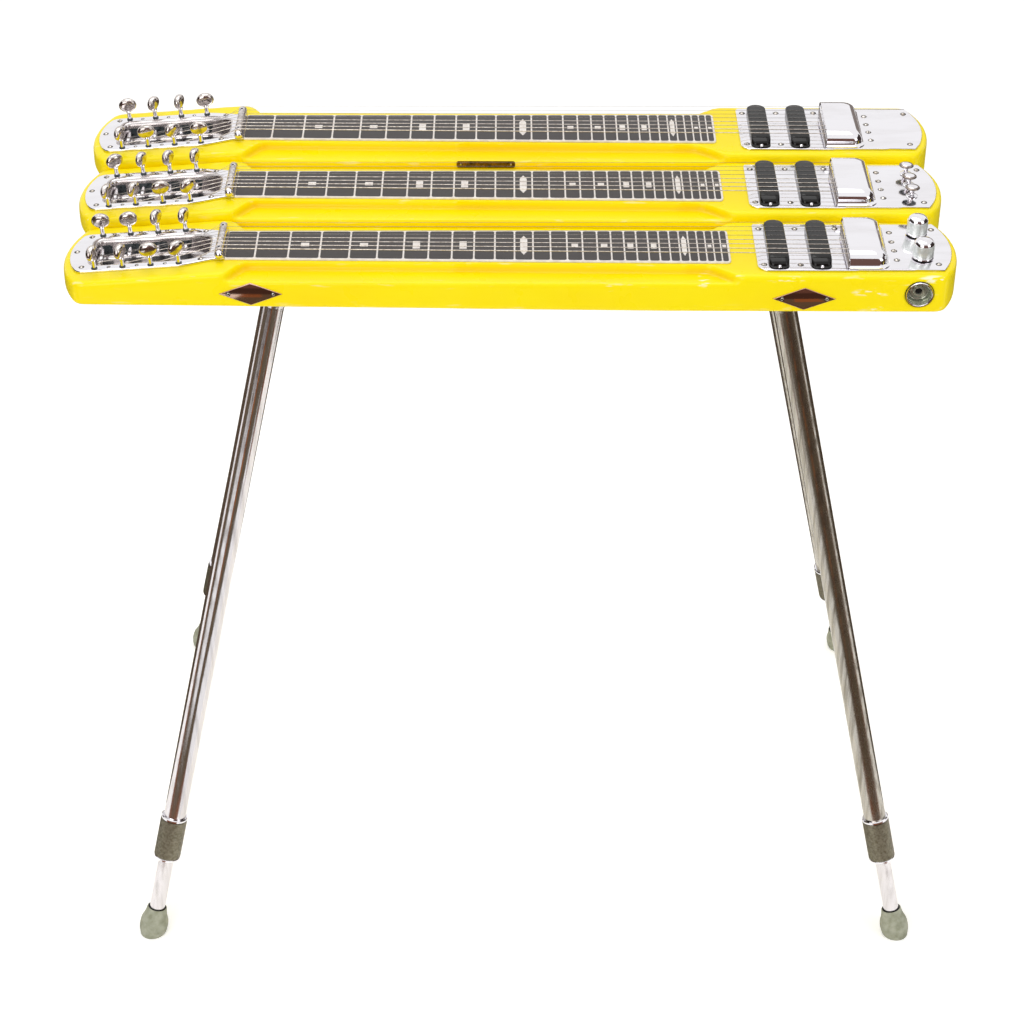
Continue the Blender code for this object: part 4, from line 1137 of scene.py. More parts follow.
@dataclass
class TunerPan:
    """The pressed pan in the head: a flange, a deep trough with string posts, and its screws."""

    left: float = -145.0 * MM
    right: float = 0.5 * MM
    half: float = 35.2 * MM
    half_nut: float = 26.5 * MM
    taper_start: float = -44.0 * MM
    bulge: float = 10.0 * MM
    corner: float = 9.0 * MM
    top: float = 2.5 * MM
    trough_left: float = -122.0 * MM
    trough_right: float = -16.0 * MM
    trough_half: float = 22.5 * MM
    trough_depth: float = 17.0 * MM
    rim: float = 4.6 * MM
    well: Point = mm(17.0, 10.4)
    post_radius: float = 2.4 * MM
    post_depth: float = 7.5 * MM
    string_y: tuple[float, ...] = mm(5.5, 9.5, 13.5, 17.5)
    screws: tuple[Point, ...] = mm((-139.0, 2.0), (-128.5, 29.5), (-131.0, -27.5), (-21.0, 26.5),
                                   (-21.0, -26.5))
    gear_x: tuple[float, ...] = mm(-105.5, -79.5, -53.5)
    gear_y: float = 30.5 * MM

    def flange_outline(self) -> list[Point]:
        """A bulged end, straight sides, and a taper towards the nut.

        Returns:
            The outline, in the head's frame.
        """
        steps = 16
        lower = []
        for i in range(steps + 1):
            share = i / steps
            x = self.taper_start + (self.right - self.taper_start) * share
            lower.append((x, -(self.half + (self.half_nut - self.half) * smooth_step(share))))
        end = bulged_end(self.left, self.half, self.bulge, self.corner, -1, 20)
        return end + lower + [(x, -y) for x, y in reversed(lower)]

    def opening(self, outset: float) -> list[Point]:
        """The trough's outline, which narrows towards the nut, moved out by a distance.

        Args:
            outset: The distance.

        Returns:
            The outline, in the head's frame.
        """
        steps = 14
        half = self.trough_half + outset
        left = self.trough_left - outset
        corner = 5.0 * MM + outset
        right = self.trough_right + outset * 0.7
        lower = arc((left + corner, corner - half), corner, 180, 270, 8)
        for i in range(steps + 1):
            share = i / steps
            x = self.taper_start + (right - self.taper_start) * math.sin(share * math.pi / 2)
            lower.append((x, -half + (half - 11.0 * MM) * (1 - math.cos(share * math.pi / 2))))
        return lower + [(x, -y) for x, y in reversed(lower)]

    def trough(self) -> Shape:
        """The trough's one skin, from the flange's top over a round rim to the floor.

        Returns:
            The skin, which faces up.
        """
        rings = []
        for angle in (0, 15, 30, 45, 60, 75, 90):
            turn = math.radians(angle)
            outset = self.rim * (1 - math.sin(turn))
            height = self.top - self.rim * (1 - math.cos(turn))
            rings.append([spot(x, y, height) for x, y in self.opening(outset)])
        foot = 4.0 * MM
        for angle in (0, 30, 60, 90):
            turn = math.radians(angle)
            outset = -foot * (1 - math.cos(turn)) - 0.4 * MM
            height = -self.trough_depth + foot * (1 - math.sin(turn))
            rings.append([spot(x, y, height) for x, y in self.opening(outset)])
        shape = lofted(rings, (False, True))
        bmesh.ops.reverse_faces(shape, faces=shape.faces[:])
        return shape

    def post_place(self, side: int, number: int) -> Vector:
        """The inner end of a string post's axis, in the head's frame."""
        y = self.string_y[3 - number]
        return spot(POST_X - POST_PITCH * number, side * y, -self.post_depth)

    def build(self, neck: Neck) -> None:
        """Dress one neck's pan.

        Args:
            neck: The neck.
        """
        piece = Piece(neck.node("tuner_plate"))
        flange = slab([self.flange_outline(), self.opening(self.rim)], 0.3 * MM, self.top)

        def outer_rim(first: Vector, second: Vector, middle: Vector) -> bool:
            """Whether an edge lies on the flange's top rim, away from the trough.

            Args:
                first: One end.
                second: The other end.
                middle: Its middle.

            Returns:
                Whether it does.
            """
            inside = abs(middle.y) < self.trough_half + self.rim + 0.5 * MM
            inside = inside and self.trough_left - self.rim - 1.0 * MM < middle.x < -12.0 * MM
            return top_rim(first, second, middle) and not inside

        piece.add(bevelled(flange, outer_rim, 1.0 * MM, 3), PLATE_CHROME)
        # The trough's plate is darkened as painted shade
        piece.add(self.trough(), SHADED_TROUGH_CHROME)
        across, up = self.well
        for side in (1, -1):
            for number in range(STRINGS // 2):
                centre = self.post_place(side, number)
                length = self.trough_half - abs(centre.y) + 2.6 * MM
                end = arc((0.0, -0.8 * MM), self.post_radius, 90, 0, 4)
                post = turned(end + [(self.post_radius, -length), (0.0, -length)], 20)
                place = upright(centre.x, centre.y - side * 2.6 * MM, centre.z, side)
                piece.add(post, SMALL_CHROME, place)
                # Each post's slot in the trough wall is a dark sheet of painted shade
                outline = rounded_rectangle(-across / 2, across / 2, up / 2, 2.0 * MM, 4)
                wall = side * (self.trough_half - 0.4 * MM)
                place = upright(centre.x, wall, centre.z - 1.2 * MM, side)
                piece.add(slab([outline], 0.0, 0.35 * MM), PAINTED_SHADE_WELL, place)
            for x in self.gear_x:
                Screw(1.5 * MM, 0.7 * MM).fit(piece, at(x, side * self.gear_y, self.top - 0.1 * MM, 40))
        for x, y in self.screws:
            Screw().fit(piece, at(x, y, self.top - 0.1 * MM, 400 * x / MM % 180))
        piece.dress(neck.head, "root", Slot.CHROME, neck.node("tuner_pan"))


@dataclass
class Nut:
    """The cast nut: a tall rough bar with a round top, dark holes near its ends and ball ends."""

    wide: float = 8.0 * MM
    top: float = 10.9 * MM
    half: float = 26.6 * MM
    ball: float = 4.2 * MM
    hole: float = 1.5 * MM
    hole_y: float = 20.6 * MM

    def build(self, neck: Neck) -> None:
        """Dress one neck's nut.

        Args:
            neck: The neck.
        """
        piece = Piece(neck.node("nut"))
        radius = self.wide / 2
        profile = arc((0.0, self.top - radius), radius, 0, 180, 14)
        bar = slab([profile + [(-radius, 1.5 * MM), (radius, 1.5 * MM)]], -self.half, self.half)
        bmesh.ops.subdivide_edges(bar, edges=[e for e in bar.edges if e.calc_length() > self.half], cuts=40)
        piece.add(bar, NUT_METAL, upright(NUT_X, 0.0, 0.0))
        for side in (1, -1):
            globe = bmesh.new()
            bmesh.ops.create_uvsphere(globe, u_segments=28, v_segments=18, radius=self.ball)
            piece.add(globe, SMALL_CHROME, at(NUT_X, side * self.half, self.top - radius - 1.0 * MM))
            hole = self.hole
            rim = [(hole, 0.0), (hole + 0.7 * MM, 0.05 * MM), (hole + 0.9 * MM, -0.6 * MM), (hole, -0.6 * MM)]
            centre = at(NUT_X, side * self.hole_y, self.top + 0.1 * MM)
            piece.add(turned(rim, 20, ring=True), SMALL_CHROME, centre)
            # The hole's dark inside is painted shade
            piece.add(drum(hole, -0.5 * MM, 0.0, 20), PAINTED_SHADE, centre)
        piece.dress(neck.head, "root", Slot.CHROME)


@dataclass
class TunerKey:
    """A key: an oval button, thicker at its top, on a shaft in a bush that is dark with painted shade."""

    y: float = 31.5 * MM
    wide: float = 17.4 * MM
    thick: float = 9.4 * MM
    tall: float = 14.3 * MM
    centre: float = 17.95 * MM
    shaft: float = 2.1 * MM
    ferrule: float = 2.9 * MM
    base: float = 2.4 * MM
    depth: float = 6.0 * MM
    flatness: float = 0.75
    waist: float = 0.8

    def button(self) -> Shape:
        """The oval button: nearly flat faces, a round edge, and a waist that runs into the shaft.

        Returns:
            The button, above the shaft's foot.
        """
        shape = bmesh.new()
        bmesh.ops.create_uvsphere(shape, u_segments=32, v_segments=20, radius=0.5)
        for corner in shape.verts:
            share = corner.co.z + 0.5
            flatter = math.copysign(abs(corner.co.y * 2) ** self.flatness / 2, corner.co.y)
            corner.co.y = flatter * (0.5 + 0.5 * share ** self.waist)
        bmesh.ops.scale(shape, vec=(self.wide, self.thick, self.tall), verts=shape.verts[:])
        bmesh.ops.translate(shape, vec=(0.0, 0.0, self.centre), verts=shape.verts[:])
        return shape

    def build(self, neck: Neck, turns: Sequence[float]) -> None:
        """Dress one neck's eight keys.

        Args:
            neck: The neck that they are in.
            turns: How far each is turned at rest, in degrees, far side first, from the nut outwards.
        """
        for number, turn in enumerate(turns):
            row, place = divmod(number, STRINGS // 2)
            x = POST_X - POST_PITCH * place
            piece = Piece(f"{neck.name}_key_{number + 1}")
            piece.add(self.button(), KEY_CHROME)
            low = self.centre - self.tall / 2
            shaft = [(0.0, low + 2.5 * MM), (self.shaft, low + 2.5 * MM), (self.shaft * 1.35, low + 0.6 * MM),
                     (self.shaft, low - 0.8 * MM), (self.shaft, -self.depth), (0.0, -self.depth)]
            piece.add(turned(shaft, 24), SMALL_CHROME)
            # The bush is dark with painted shade
            bush = [(self.shaft, self.base + 1.4 * MM), (self.ferrule - 0.4 * MM, self.base + 1.3 * MM),
                    (self.ferrule, self.base + 0.9 * MM), (self.ferrule, self.base), (self.shaft, self.base)]
            piece.add(turned(bush, 24, ring=True), PAINTED_SHADE_WELL)
            name = neck.node(f"tuner_key_{number + 1}")
            piece.dress(neck.head @ at(x, -self.y if row else self.y, 0.0, turn), name, Slot.CHROME, name)


@dataclass
class Strings:
    """Eight strings from under the cover, over the saddle and the nut, down to their posts."""

    tail_x: float = 599.0 * MM
    tail_height: float = 9.4 * MM
    saddle_height: float = 11.0 * MM
    nut_height: float = 11.0 * MM
    nut_land: float = 1.5 * MM
    pitches: Point = mm(7.1, 8.65)
    plain_radii: Point = mm(0.13, 0.19)
    wound_radii: Point = mm(0.30, 0.42)
    turns: float = 3.5
    wound: int = 4

    def line(self, pan: TunerPan, index: int) -> list[Vector]:
        """The points that a string follows, in its neck's frame.

        Args:
            pan: The pan that its post is in.
            index: The string, counted from the player.

        Returns:
            The points, from the bridge to the last turn round the post.
        """
        rank = index - (STRINGS - 1) / 2
        side = 1 if rank > 0 else -1
        number = 3 - int(abs(rank))
        radius = self.radius(index)
        at_nut, at_saddle = (rank * pitch for pitch in self.pitches)
        height = self.nut_height + radius
        points = [spot(self.tail_x, at_saddle, self.tail_height),
                  spot(SADDLE_X, at_saddle, self.saddle_height + radius),
                  spot(NUT_X + self.nut_land, at_nut, height),
                  spot(NUT_X - self.nut_land, at_nut, height - 0.2 * MM)]
        centre = pan.post_place(side, number)
        reach = pan.post_radius + radius
        steps = int(self.turns * 14)
        for i in range(steps + 1):
            wound = self.turns * i / steps
            angle = math.pi / 2 + 0.5 - 2 * math.pi * wound
            drift = side * (0.6 * MM + 2.2 * radius * wound)
            round_post = spot(-reach * math.cos(angle), drift, reach * math.sin(angle))
            points.append(head_slope() @ (centre + round_post))
        return points

    def radius(self, index: int) -> float:
        """Strings thicken towards the player, and the wound ones are much thicker."""
        thin, thick = self.wound_radii if index < self.wound else self.plain_radii
        return thin + (thick - thin) * (1 - index % self.wound / (self.wound - 1))

    def build(self, neck: Neck, pan: TunerPan) -> None:
        """Dress one neck's strings.

        Args:
            neck: The neck.
            pan: The pan that their posts are in.
        """
        piece = Piece(neck.node("strings"))
        for index in range(STRINGS):
            finish = WOUND_NICKEL if index < self.wound else PLAIN_STEEL
            piece.add(swept(self.line(pan, index), self.radius(index)), finish)
        piece.dress(neck.frame, "root", Slot.CHROME)


@dataclass
class ControlPlate:
    """The chromed plate at the bridge end, with the bridge that stands on it."""

    left: float = 489.0 * MM
    half: float = 44.7 * MM
    bottom: float = 0.3 * MM
    margin: float = 5.6 * MM
    corners: Point = mm(5.0, 10.0)
    steps: tuple[Point, ...] = mm((581.0, 0.9), (634.0, 1.8))
    screws: tuple[Point, ...] = mm(
        (495.1, 33.5), (528.9, 34.0), (495.0, -34.5), (528.3, -35.0), (566.5, 34.5), (616.5, 27.0),
        (616.5, 9.0), (617.0, -8.0), (617.5, -25.5), (656.6, 33.0), (655.0, -33.0))
    bridge_half: float = 35.0 * MM
    base: tuple[float, ...] = mm(572.0, 604.0, 5.1, 2.0)
    tail_wall: tuple[float, ...] = mm(597.0, 601.0, 11.2, 1.0)
    saddle_height: float = 8.2 * MM
    saddle_radius: float = 2.8 * MM

    def outline(self) -> list[Point]:
        """Square-cut at the board's end; the other end follows the end of the wood.

        Returns:
            The outline, in the neck's frame.
        """
        radius = (HALF_WIDTH ** 2 + END_BULGE ** 2) / (2 * END_BULGE)
        inner = radius - self.margin
        meet = math.degrees(math.asin(self.half / inner))
        far, near = self.corners
        points = arc((TAIL_END_X - radius, 0.0), inner, 1 - meet, meet, 40)
        points += arc((self.left + far, self.half - far), far, 90, 180, 8)
        points += arc((self.left + near, near - self.half), near, 180, 270, 12)
        edge = -self.half
        for x, drop in self.steps:
            points.append((x - 3.0 * MM, edge))
            edge = drop - self.half
            points.append((x, edge))
        return points

    def build(self, neck: Neck) -> None:
        """Dress one neck's plate and bridge.

        Args:
            neck: The neck.
        """
        piece = Piece(neck.node("bridge_plate"))
        sheet = bevelled(slab([self.outline()], self.bottom, PLATE_TOP), top_rim, 0.6 * MM, 3)
        piece.add(sheet, PLATE_CHROME)
        for number, (x, y) in enumerate(self.screws):
            if neck.name != "front" and x > 640 * MM and y < 0:
                y -= 1.0 * MM
            Screw(2.6 * MM, 1.4 * MM).fit(piece, at(x, y, PLATE_TOP - 0.05 * MM, 37 * number % 180))
        half = self.bridge_half
        for left, right, height, corner in (self.base, self.tail_wall):
            block = slab([rounded_rectangle(left, right, half, corner, 3)], PLATE_TOP, height)
            piece.add(bevelled(block, top_rim, 0.8 * MM, 2), RIM_NICKEL)
        radius = self.saddle_radius
        edge = 0.5 * MM
        rod = turned([(0.0, half), (radius - edge, half), (radius, half - edge), (radius, edge - half),
                      (radius - edge, -half), (0.0, -half)], 24)
        piece.add(rod, SMALL_CHROME, upright(SADDLE_X, 0.0, self.saddle_height))
        wide = 1.0 * MM
        web = rounded_rectangle(SADDLE_X - wide, SADDLE_X + wide, half - wide, 0.5 * MM, 2)
        piece.add(slab([web], PLATE_TOP, self.saddle_height), RIM_NICKEL)
        if neck.name == "front":
            for y in KNOB_Y.values():
                nut = slab([arc((0.0, 0.0), 6.0 * MM, 0, 300, 5)], 0.0, 0.8 * MM)
                piece.add(nut, SMALL_CHROME, at(Knob.x, y, PLATE_TOP))
        piece.dress(neck.frame, "root", Slot.CHROME, neck.node("control_plate"))


@dataclass
class BridgeCover:
    """The pressed cover over the bridge: a flat top, steep shoulders and a lip, open to the strings."""

    left: float = 572.6 * MM
    right: float = 610.6 * MM
    half: float = 42.8 * MM
    bottom: float = 2.2 * MM
    top: float = 15.6 * MM
    shoulder: float = 12.2 * MM
    lip: float = 2.6 * MM
    wall: float = 1.1 * MM
    corner: float = 11.0 * MM

    def rings(self) -> list[list[Vector]]:
        """Rings from the lip up over the shoulders; the left side is closed until it is cut off.

        Returns:
            The rings, from the bottom.
        """
        overhang = 30.0 * MM
        sizes = [(0.0, self.bottom), (0.0, self.bottom + 0.7 * MM), (self.lip * 0.6, self.bottom + 1.1 * MM),
                 (self.lip, self.bottom + 2.2 * MM)]
        waist = self.top - self.shoulder * 0.78
        sizes.append((self.lip + 0.3 * MM, waist))
        for angle in range(10, 91, 8):
            turn = math.radians(angle)
            inset = self.lip + 0.3 * MM + self.shoulder * (1 - math.cos(turn))
            sizes.append((inset, waist + (self.top - waist) * math.sin(turn)))
        rings = []
        for inset, height in sizes:
            corner = max(self.corner - inset * 0.45, 2.0 * MM)
            ring = rounded_rectangle(self.left - overhang, self.right - inset, self.half - inset, corner, 8)
            rings.append([spot(x, y, height) for x, y in ring])
        return rings

    def build(self, neck: Neck) -> None:
        """Dress one neck's cover.

        Args:
            neck: The neck.
        """
        shape = lofted(self.rings(), (False, True))
        bmesh.ops.bisect_plane(shape, geom=shape.verts[:] + shape.edges[:] + shape.faces[:],
                               plane_co=(self.left, 0.0, 0.0), plane_no=(-1.0, 0.0, 0.0), clear_outer=True)
        mesh = modified(mesh_of(shape, "cover"), [("SOLIDIFY", {"thickness": self.wall, "offset": -1.0})])
        shape = bmesh.new()
        shape.from_mesh(mesh)
        piece = Piece(neck.node("cover"))
        piece.add(shape, PLATE_CHROME)
        piece.dress(neck.frame, "root", Slot.CHROME, neck.node("bridge_cover"))


@dataclass
class Pickup:
    """A pickup: a black cover, flat on top, that falls away to an ear with a screw on the player's side."""

    wide: float = 18.8 * MM
    far: float = 40.0 * MM
    near: float = 39.0 * MM
    near_flat: float = 25.0 * MM
    ear: float = 43.3 * MM
    ear_top: float = 3.2 * MM
    top: float = 8.8 * MM
    base: float = 2.3 * MM
    screw_y: float = -41.0 * MM
    coil: tuple[float, ...] = mm(8.6, 33.0, 8.5, 11.9)
    places: tuple[tuple[str, float], ...] = (("neck_pickup", 508.6 * MM), ("bridge_pickup", 547.4 * MM))

    def outline(self, half: float, near: float, far: float, corner: float) -> list[Point]:
        """A strip along Y with a round far end and small corners on the player's side.

        Args:
            half: Half its width.
            near: How far it reaches towards the player.
            far: How far it reaches the other way.
            corner: The near corners' radius.

        Returns:
            Its outline.
        """
        end = half * 0.92
        return (arc((half - corner, corner - near), corner, -90, 0, 10)
                + arc((half - end, far - end), end, 0, 90, 12)
                + arc((end - half, far - end), end, 90, 180, 12)
                + arc((corner - half, corner - near), corner, 180, 270, 10))

    def cover(self) -> Shape:
        """The cover's skin: upright sides, a tight round along them, and a long fall at the near end.

        Returns:
            The skin, closed below.
        """
        rings = []
        for share in (0.0, 0.3, 0.5, 0.62, 0.72, 0.8, 0.87, 0.93, 0.97, 0.99, 1.0):
            side = min(max(0.0, (share - 0.7) / 0.3), 1.0)
            inset = 1.7 * MM * (1 - math.sqrt(1 - side ** 2))
            near = self.near - (self.near - self.near_flat) * (1 - math.sqrt(1 - share ** 2.2))
            ring = self.outline(self.wide / 2 - inset, near, self.far - inset, 5.0 * MM - inset)
            height = self.base + (self.top - self.base) * share
            rings.append([spot(x, y, height) for x, y in ring])
        return lofted(rings)

    def build(self, neck: Neck) -> None:
        """Dress one neck's two pickups.

        Args:
            neck: The neck.
        """
        for name, x in self.places:
            piece = Piece(neck.node(f"{name}_cover"))
            piece.add(self.cover(), STYRENE)
            ear = slab([self.outline(self.wide / 2, self.ear, 0.0, 6.5 * MM)], self.base, self.ear_top)
            piece.add(bevelled(ear, top_rim, 0.9 * MM, 3), STYRENE)
            wide, half, corner, depth = self.coil
            coil = rounded_rectangle(-wide, wide, half, corner)
            piece.add(slab([coil], -depth, self.base), STYRENE)
            Screw(2.3 * MM, 2.0 * MM).fit(piece, at(0.0, self.screw_y, self.ear_top, 25), SMALL_CHROME)
            piece.dress(neck.frame @ at(x, 0.0), "root", Slot.PICKUP, neck.node(name))


@dataclass
class Knob:
    """A domed chrome barrel knob on its shaft."""

    x: float = 642.0 * MM
    radius: float = 10.0 * MM
    bottom: float = 2.9 * MM
    top: float = 21.4 * MM
    shaft: float = 3.0 * MM
    depth: float = 9.0 * MM
    flutes: int = 48

    def build(self, neck: Neck, name: str, y: float) -> None:
        """Dress one knob: a polished dome on a brushed barrel with a polished foot ring.

        Args:
            neck: The neck that it is on.
            name: Its CAD node.
            y: Its place across the neck.
        """
        piece = Piece(f"{name}_barrel")
        radius = self.radius
        top = self.top
        side = radius * 0.97
        dome = [(radius * share, top - drop * MM) for share, drop in
                ((0.0, 0.0), (0.3, 0.1), (0.55, 0.5), (0.72, 1.1), (0.83, 2.2), (0.9, 3.8), (0.93, 4.6),
                 (0.93, 4.9), (0.0, 4.9))]
        piece.add(turned(dome, self.flutes), SMALL_CHROME)
        low = self.bottom + 1.9 * MM
        barrel = [(0.0, top - 4.8 * MM), (radius * 0.95, top - 4.8 * MM), (side, top - 5.2 * MM),
                  (side, low + 0.3 * MM), (radius * 0.94, low), (0.0, low)]
        piece.add(turned(barrel, self.flutes), BRUSHED)
        foot = [(0.0, low + 0.1 * MM), (radius * 0.92, low + 0.1 * MM), (radius * 0.99, low - 0.4 * MM),
                (radius, self.bottom + 0.4 * MM), (radius * 0.97, self.bottom), (self.shaft, self.bottom),
                (self.shaft, -self.depth), (0.0, -self.depth)]
        piece.add(turned(foot, self.flutes), SMALL_CHROME)
        # A dark ring of painted shade under the foot
        painted_shade_ring = [(self.shaft, 0.0), (radius * 0.9, 0.0), (radius * 0.9, 0.6 * MM), (self.shaft, 0.6 * MM)]
        piece.add(turned(painted_shade_ring, self.flutes, ring=True), PAINTED_SHADE, at(0.0, 0.0, self.bottom - 0.7 * MM))
        piece.dress(neck.frame @ at(self.x, y), name, Slot.CHROME, name)


@dataclass
class Selector:
    """A push-button that selects a neck: a thin mushroom cap on a bright stem in a low bushing."""

    x: float = 645.0 * MM
    radius: float = 7.0 * MM
    top: float = 12.85 * MM
    low: float = 10.3 * MM
    stem: float = 2.1 * MM
    depth: float = 9.0 * MM
    bush: Point = mm(5.7, 1.1)

    def build(self, neck: Neck, name: str, y: float) -> None:
        """Dress one button.

        Args:
            neck: The neck that it is on.
            name: Its CAD node.
            y: Its place across the neck.
        """
        piece = Piece(f"{name}_cap")
        radius = self.radius
        crown = [(0.0, self.top), (radius * 0.4, self.top - 0.1 * MM), (radius * 0.62, self.top - 0.35 * MM),
                 (radius * 0.72, self.top - 0.7 * MM), (0.0, self.top - 0.7 * MM)]
        piece.add(turned(crown, 32), SMALL_CHROME)
        rim = [(radius * 0.68, self.top - 0.55 * MM), (radius * 0.86, self.top - 0.9 * MM),
               (radius * 0.96, self.top - 1.4 * MM), (radius, self.top - 1.9 * MM),
               (radius * 0.96, self.low + 0.3 * MM), (0.0, self.low + 0.3 * MM), (0.0, self.top - 0.65 * MM)]
        piece.add(turned(rim, 32), RIM_NICKEL)
        # The cap's underside is dark with painted shade
        under = [(0.0, self.low + 0.35 * MM), (radius * 0.96, self.low + 0.35 * MM), (radius * 0.9, self.low),
                 (0.0, self.low)]
        piece.add(turned(under, 32), PAINTED_SHADE_WELL)
        stem = [(0.0, self.low + 0.2 * MM), (self.stem + 0.5 * MM, self.low + 0.2 * MM),
                (self.stem, self.low - 0.7 * MM), (self.stem, -self.depth), (0.0, -self.depth)]
        piece.add(turned(stem, 24), SMALL_CHROME)
        piece.dress(neck.frame @ at(self.x, y), name, Slot.CHROME, name)

    def bushing(self, neck: Neck, y: float) -> None:
        """Dress the threaded ring that a button slides in.

        Args:
            neck: The neck that it is on.
            y: Its place across the neck.
        """
        piece = Piece(f"selector_bushing_{round(y / MM) + 30}")
        radius, height = self.bush
        inner = self.stem + 0.4 * MM
        profile = [(inner, height), (radius - 0.8 * MM, height), (radius, height - 0.5 * MM), (radius, 0.0),
                   (inner, 0.0)]
        piece.add(turned(profile, 24, ring=True), SMALL_CHROME)
        piece.dress(neck.frame @ at(self.x, y, PLATE_TOP), "root", Slot.CHROME)


@dataclass
class Jack:
    """The output jack: a dished cup with a rolled rim, a stepped bushing and its bore."""

    rim: float = 12.7 * MM
    cup: float = 11.8 * MM
    depth: float = 9.0 * MM
    bush: float = 5.6 * MM
    bore: float = 3.3 * MM
    length: float = 30.0 * MM

    def build(self, neck: Neck) -> None:
        """Dress the jack.

        Args:
            neck: The neck whose side it is in.
        """
        piece = Piece("jack_cup")
        floor = -self.depth
        inner = self.cup - 1.4 * MM
        rim = self.rim
        cup = [(self.bush, floor), (inner - 2.5 * MM, floor), (inner - 0.8 * MM, floor + 0.9 * MM),
               (inner, floor + 3.0 * MM), (inner + 0.1 * MM, -0.4 * MM), (inner + 0.5 * MM, 0.8 * MM),
               (inner + 1.1 * MM, 1.4 * MM), (inner + 1.8 * MM, 1.4 * MM), (rim - 0.2 * MM, 0.9 * MM),
               (rim, 0.3 * MM), (self.cup, 0.3 * MM), (self.cup, floor - 1.5 * MM),
               (self.bush, floor - 1.5 * MM)]
        piece.add(turned(cup, 48, ring=True), CUP_NICKEL)
        rolled = [(inner + 0.4 * MM, 0.4 * MM), (inner + 0.5 * MM, 0.95 * MM), (inner + 1.1 * MM, 1.55 * MM),
                  (inner + 1.8 * MM, 1.55 * MM), (rim - 0.15 * MM, 1.05 * MM), (rim + 0.05 * MM, 0.4 * MM)]
        piece.add(turned(rolled, 48, ring=True), SMALL_CHROME)
        # A dark line of painted shade round the rim
        line = [(rim - 0.1 * MM, 0.35 * MM), (rim + 0.5 * MM, 0.35 * MM), (rim + 0.6 * MM, -0.3 * MM),
                (rim - 0.1 * MM, -0.3 * MM)]
        piece.add(turned(line, 48, ring=True), PAINTED_SHADE)
        bush = [(self.bore, floor + 3.0 * MM), (self.bush - 0.9 * MM, floor + 3.0 * MM),
                (self.bush - 0.4 * MM, floor + 2.4 * MM), (self.bush - 0.4 * MM, floor),
                (6.9 * MM, floor - 1.5 * MM), (6.9 * MM, -self.length), (0.0, -self.length),
                (0.0, 2.0 * MM - self.length), (self.bore, 2.0 * MM - self.length)]
        piece.add(turned(bush, ring=True), CUP_NICKEL)
        ring = slab([arc((0.0, 0.0), 8.4 * MM, 0, 300, 5), arc((0.0, 0.0), self.bush - 0.4 * MM, 0, 345, 23)],
                    floor, floor + 1.4 * MM)
        piece.add(ring, CUP_NICKEL)
        # The bore's dark inside is painted shade
        piece.add(drum(self.bore - 0.02 * MM, floor - 2.0 * MM, floor + 0.5 * MM, 24), PAINTED_SHADE)
        x, z = JACK_PLACE
        piece.dress(neck.frame @ upright(x, -HALF_WIDTH, z), "root", Slot.CHROME, "jack_socket")


@dataclass
class Badge:
    """A bare bronze plate on the rear neck's side, with a rivet at each end."""

    x: float = 239.0 * MM
    length: float = 57.0 * MM
    thick: float = 0.8 * MM
    height: float = 7.0 * MM
    bottom: float = -14.8 * MM
    rivet_x: float = 24.5 * MM

    def outline(self, inset: float, corner: float) -> list[Point]:
        """The plate's outline, moved in; the corner is a share of its height."""
        half = self.length / 2 - inset
        return rounded_rectangle(-half, half, self.height / 2 - inset, self.height * corner)

    def build(self, neck: Neck) -> None:
        """Dress the plate, whose edge is raised in a fine line.

        Args:
            neck: The neck whose side it is on.
        """
        piece = Piece("side_badge")
        sheet = slab([self.outline(0.0, 0.3)], 0.0, self.thick * 0.7)
        piece.add(bevelled(sheet, top_rim, 0.2 * MM, 2), BRONZE)
        raised = [self.outline(0.8 * MM, 0.24), self.outline(1.3 * MM, 0.2)]
        piece.add(slab(raised, self.thick * 0.6, self.thick), BRONZE)
        for side in (1, -1):
            rivet = turned([(0.0, 0.8 * MM), (0.8 * MM, 0.6 * MM), (1.2 * MM, 0.0), (0.0, 0.0)], 16)
            piece.add(rivet, SCREW_NICKEL, at(side * self.rivet_x, 0.0, self.thick * 0.4))
        place = upright(self.x, -HALF_WIDTH - 0.3 * MM, self.bottom + self.height / 2)
        piece.dress(neck.frame @ place, "root", Slot.BRONZE, "badge_plate")


@dataclass
class Diamond:
    """A polished lozenge plate with a round edge and a screw near each tip."""

    length: float = 58.5 * MM
    height: float = 23.0 * MM
    thick: float = 1.1 * MM
    screw_x: float = 20.5 * MM
    places: tuple[Point, ...] = mm((25.9, -19.5), (531.5, -22.6))

    def build(self, neck: Neck) -> None:
        """Dress both lozenges.

        Args:
            neck: The neck whose side they are on.
        """
        for number, (x, z) in enumerate(self.places, start=1):
            piece = Piece(f"lozenge_{number}")
            across, up = self.length / 2, self.height / 2
            sheet = slab([[(-across, 0.0), (0.0, -up), (across, 0.0), (0.0, up)]], 0.0, self.thick)
            # The plate's pink-brown tint is a painted reflection
            piece.add(bevelled(sheet, top_rim, 0.5 * MM, 2), REFLECTION_TINTED_MIRROR)
            for side in (1, -1):
                Screw(1.9 * MM, 1.1 * MM).fit(piece, at(side * self.screw_x, 0.0, self.thick, 30 * side))
            piece.dress(neck.frame @ upright(x, -HALF_WIDTH - 0.02 * MM, z), "root", Slot.CHROME)


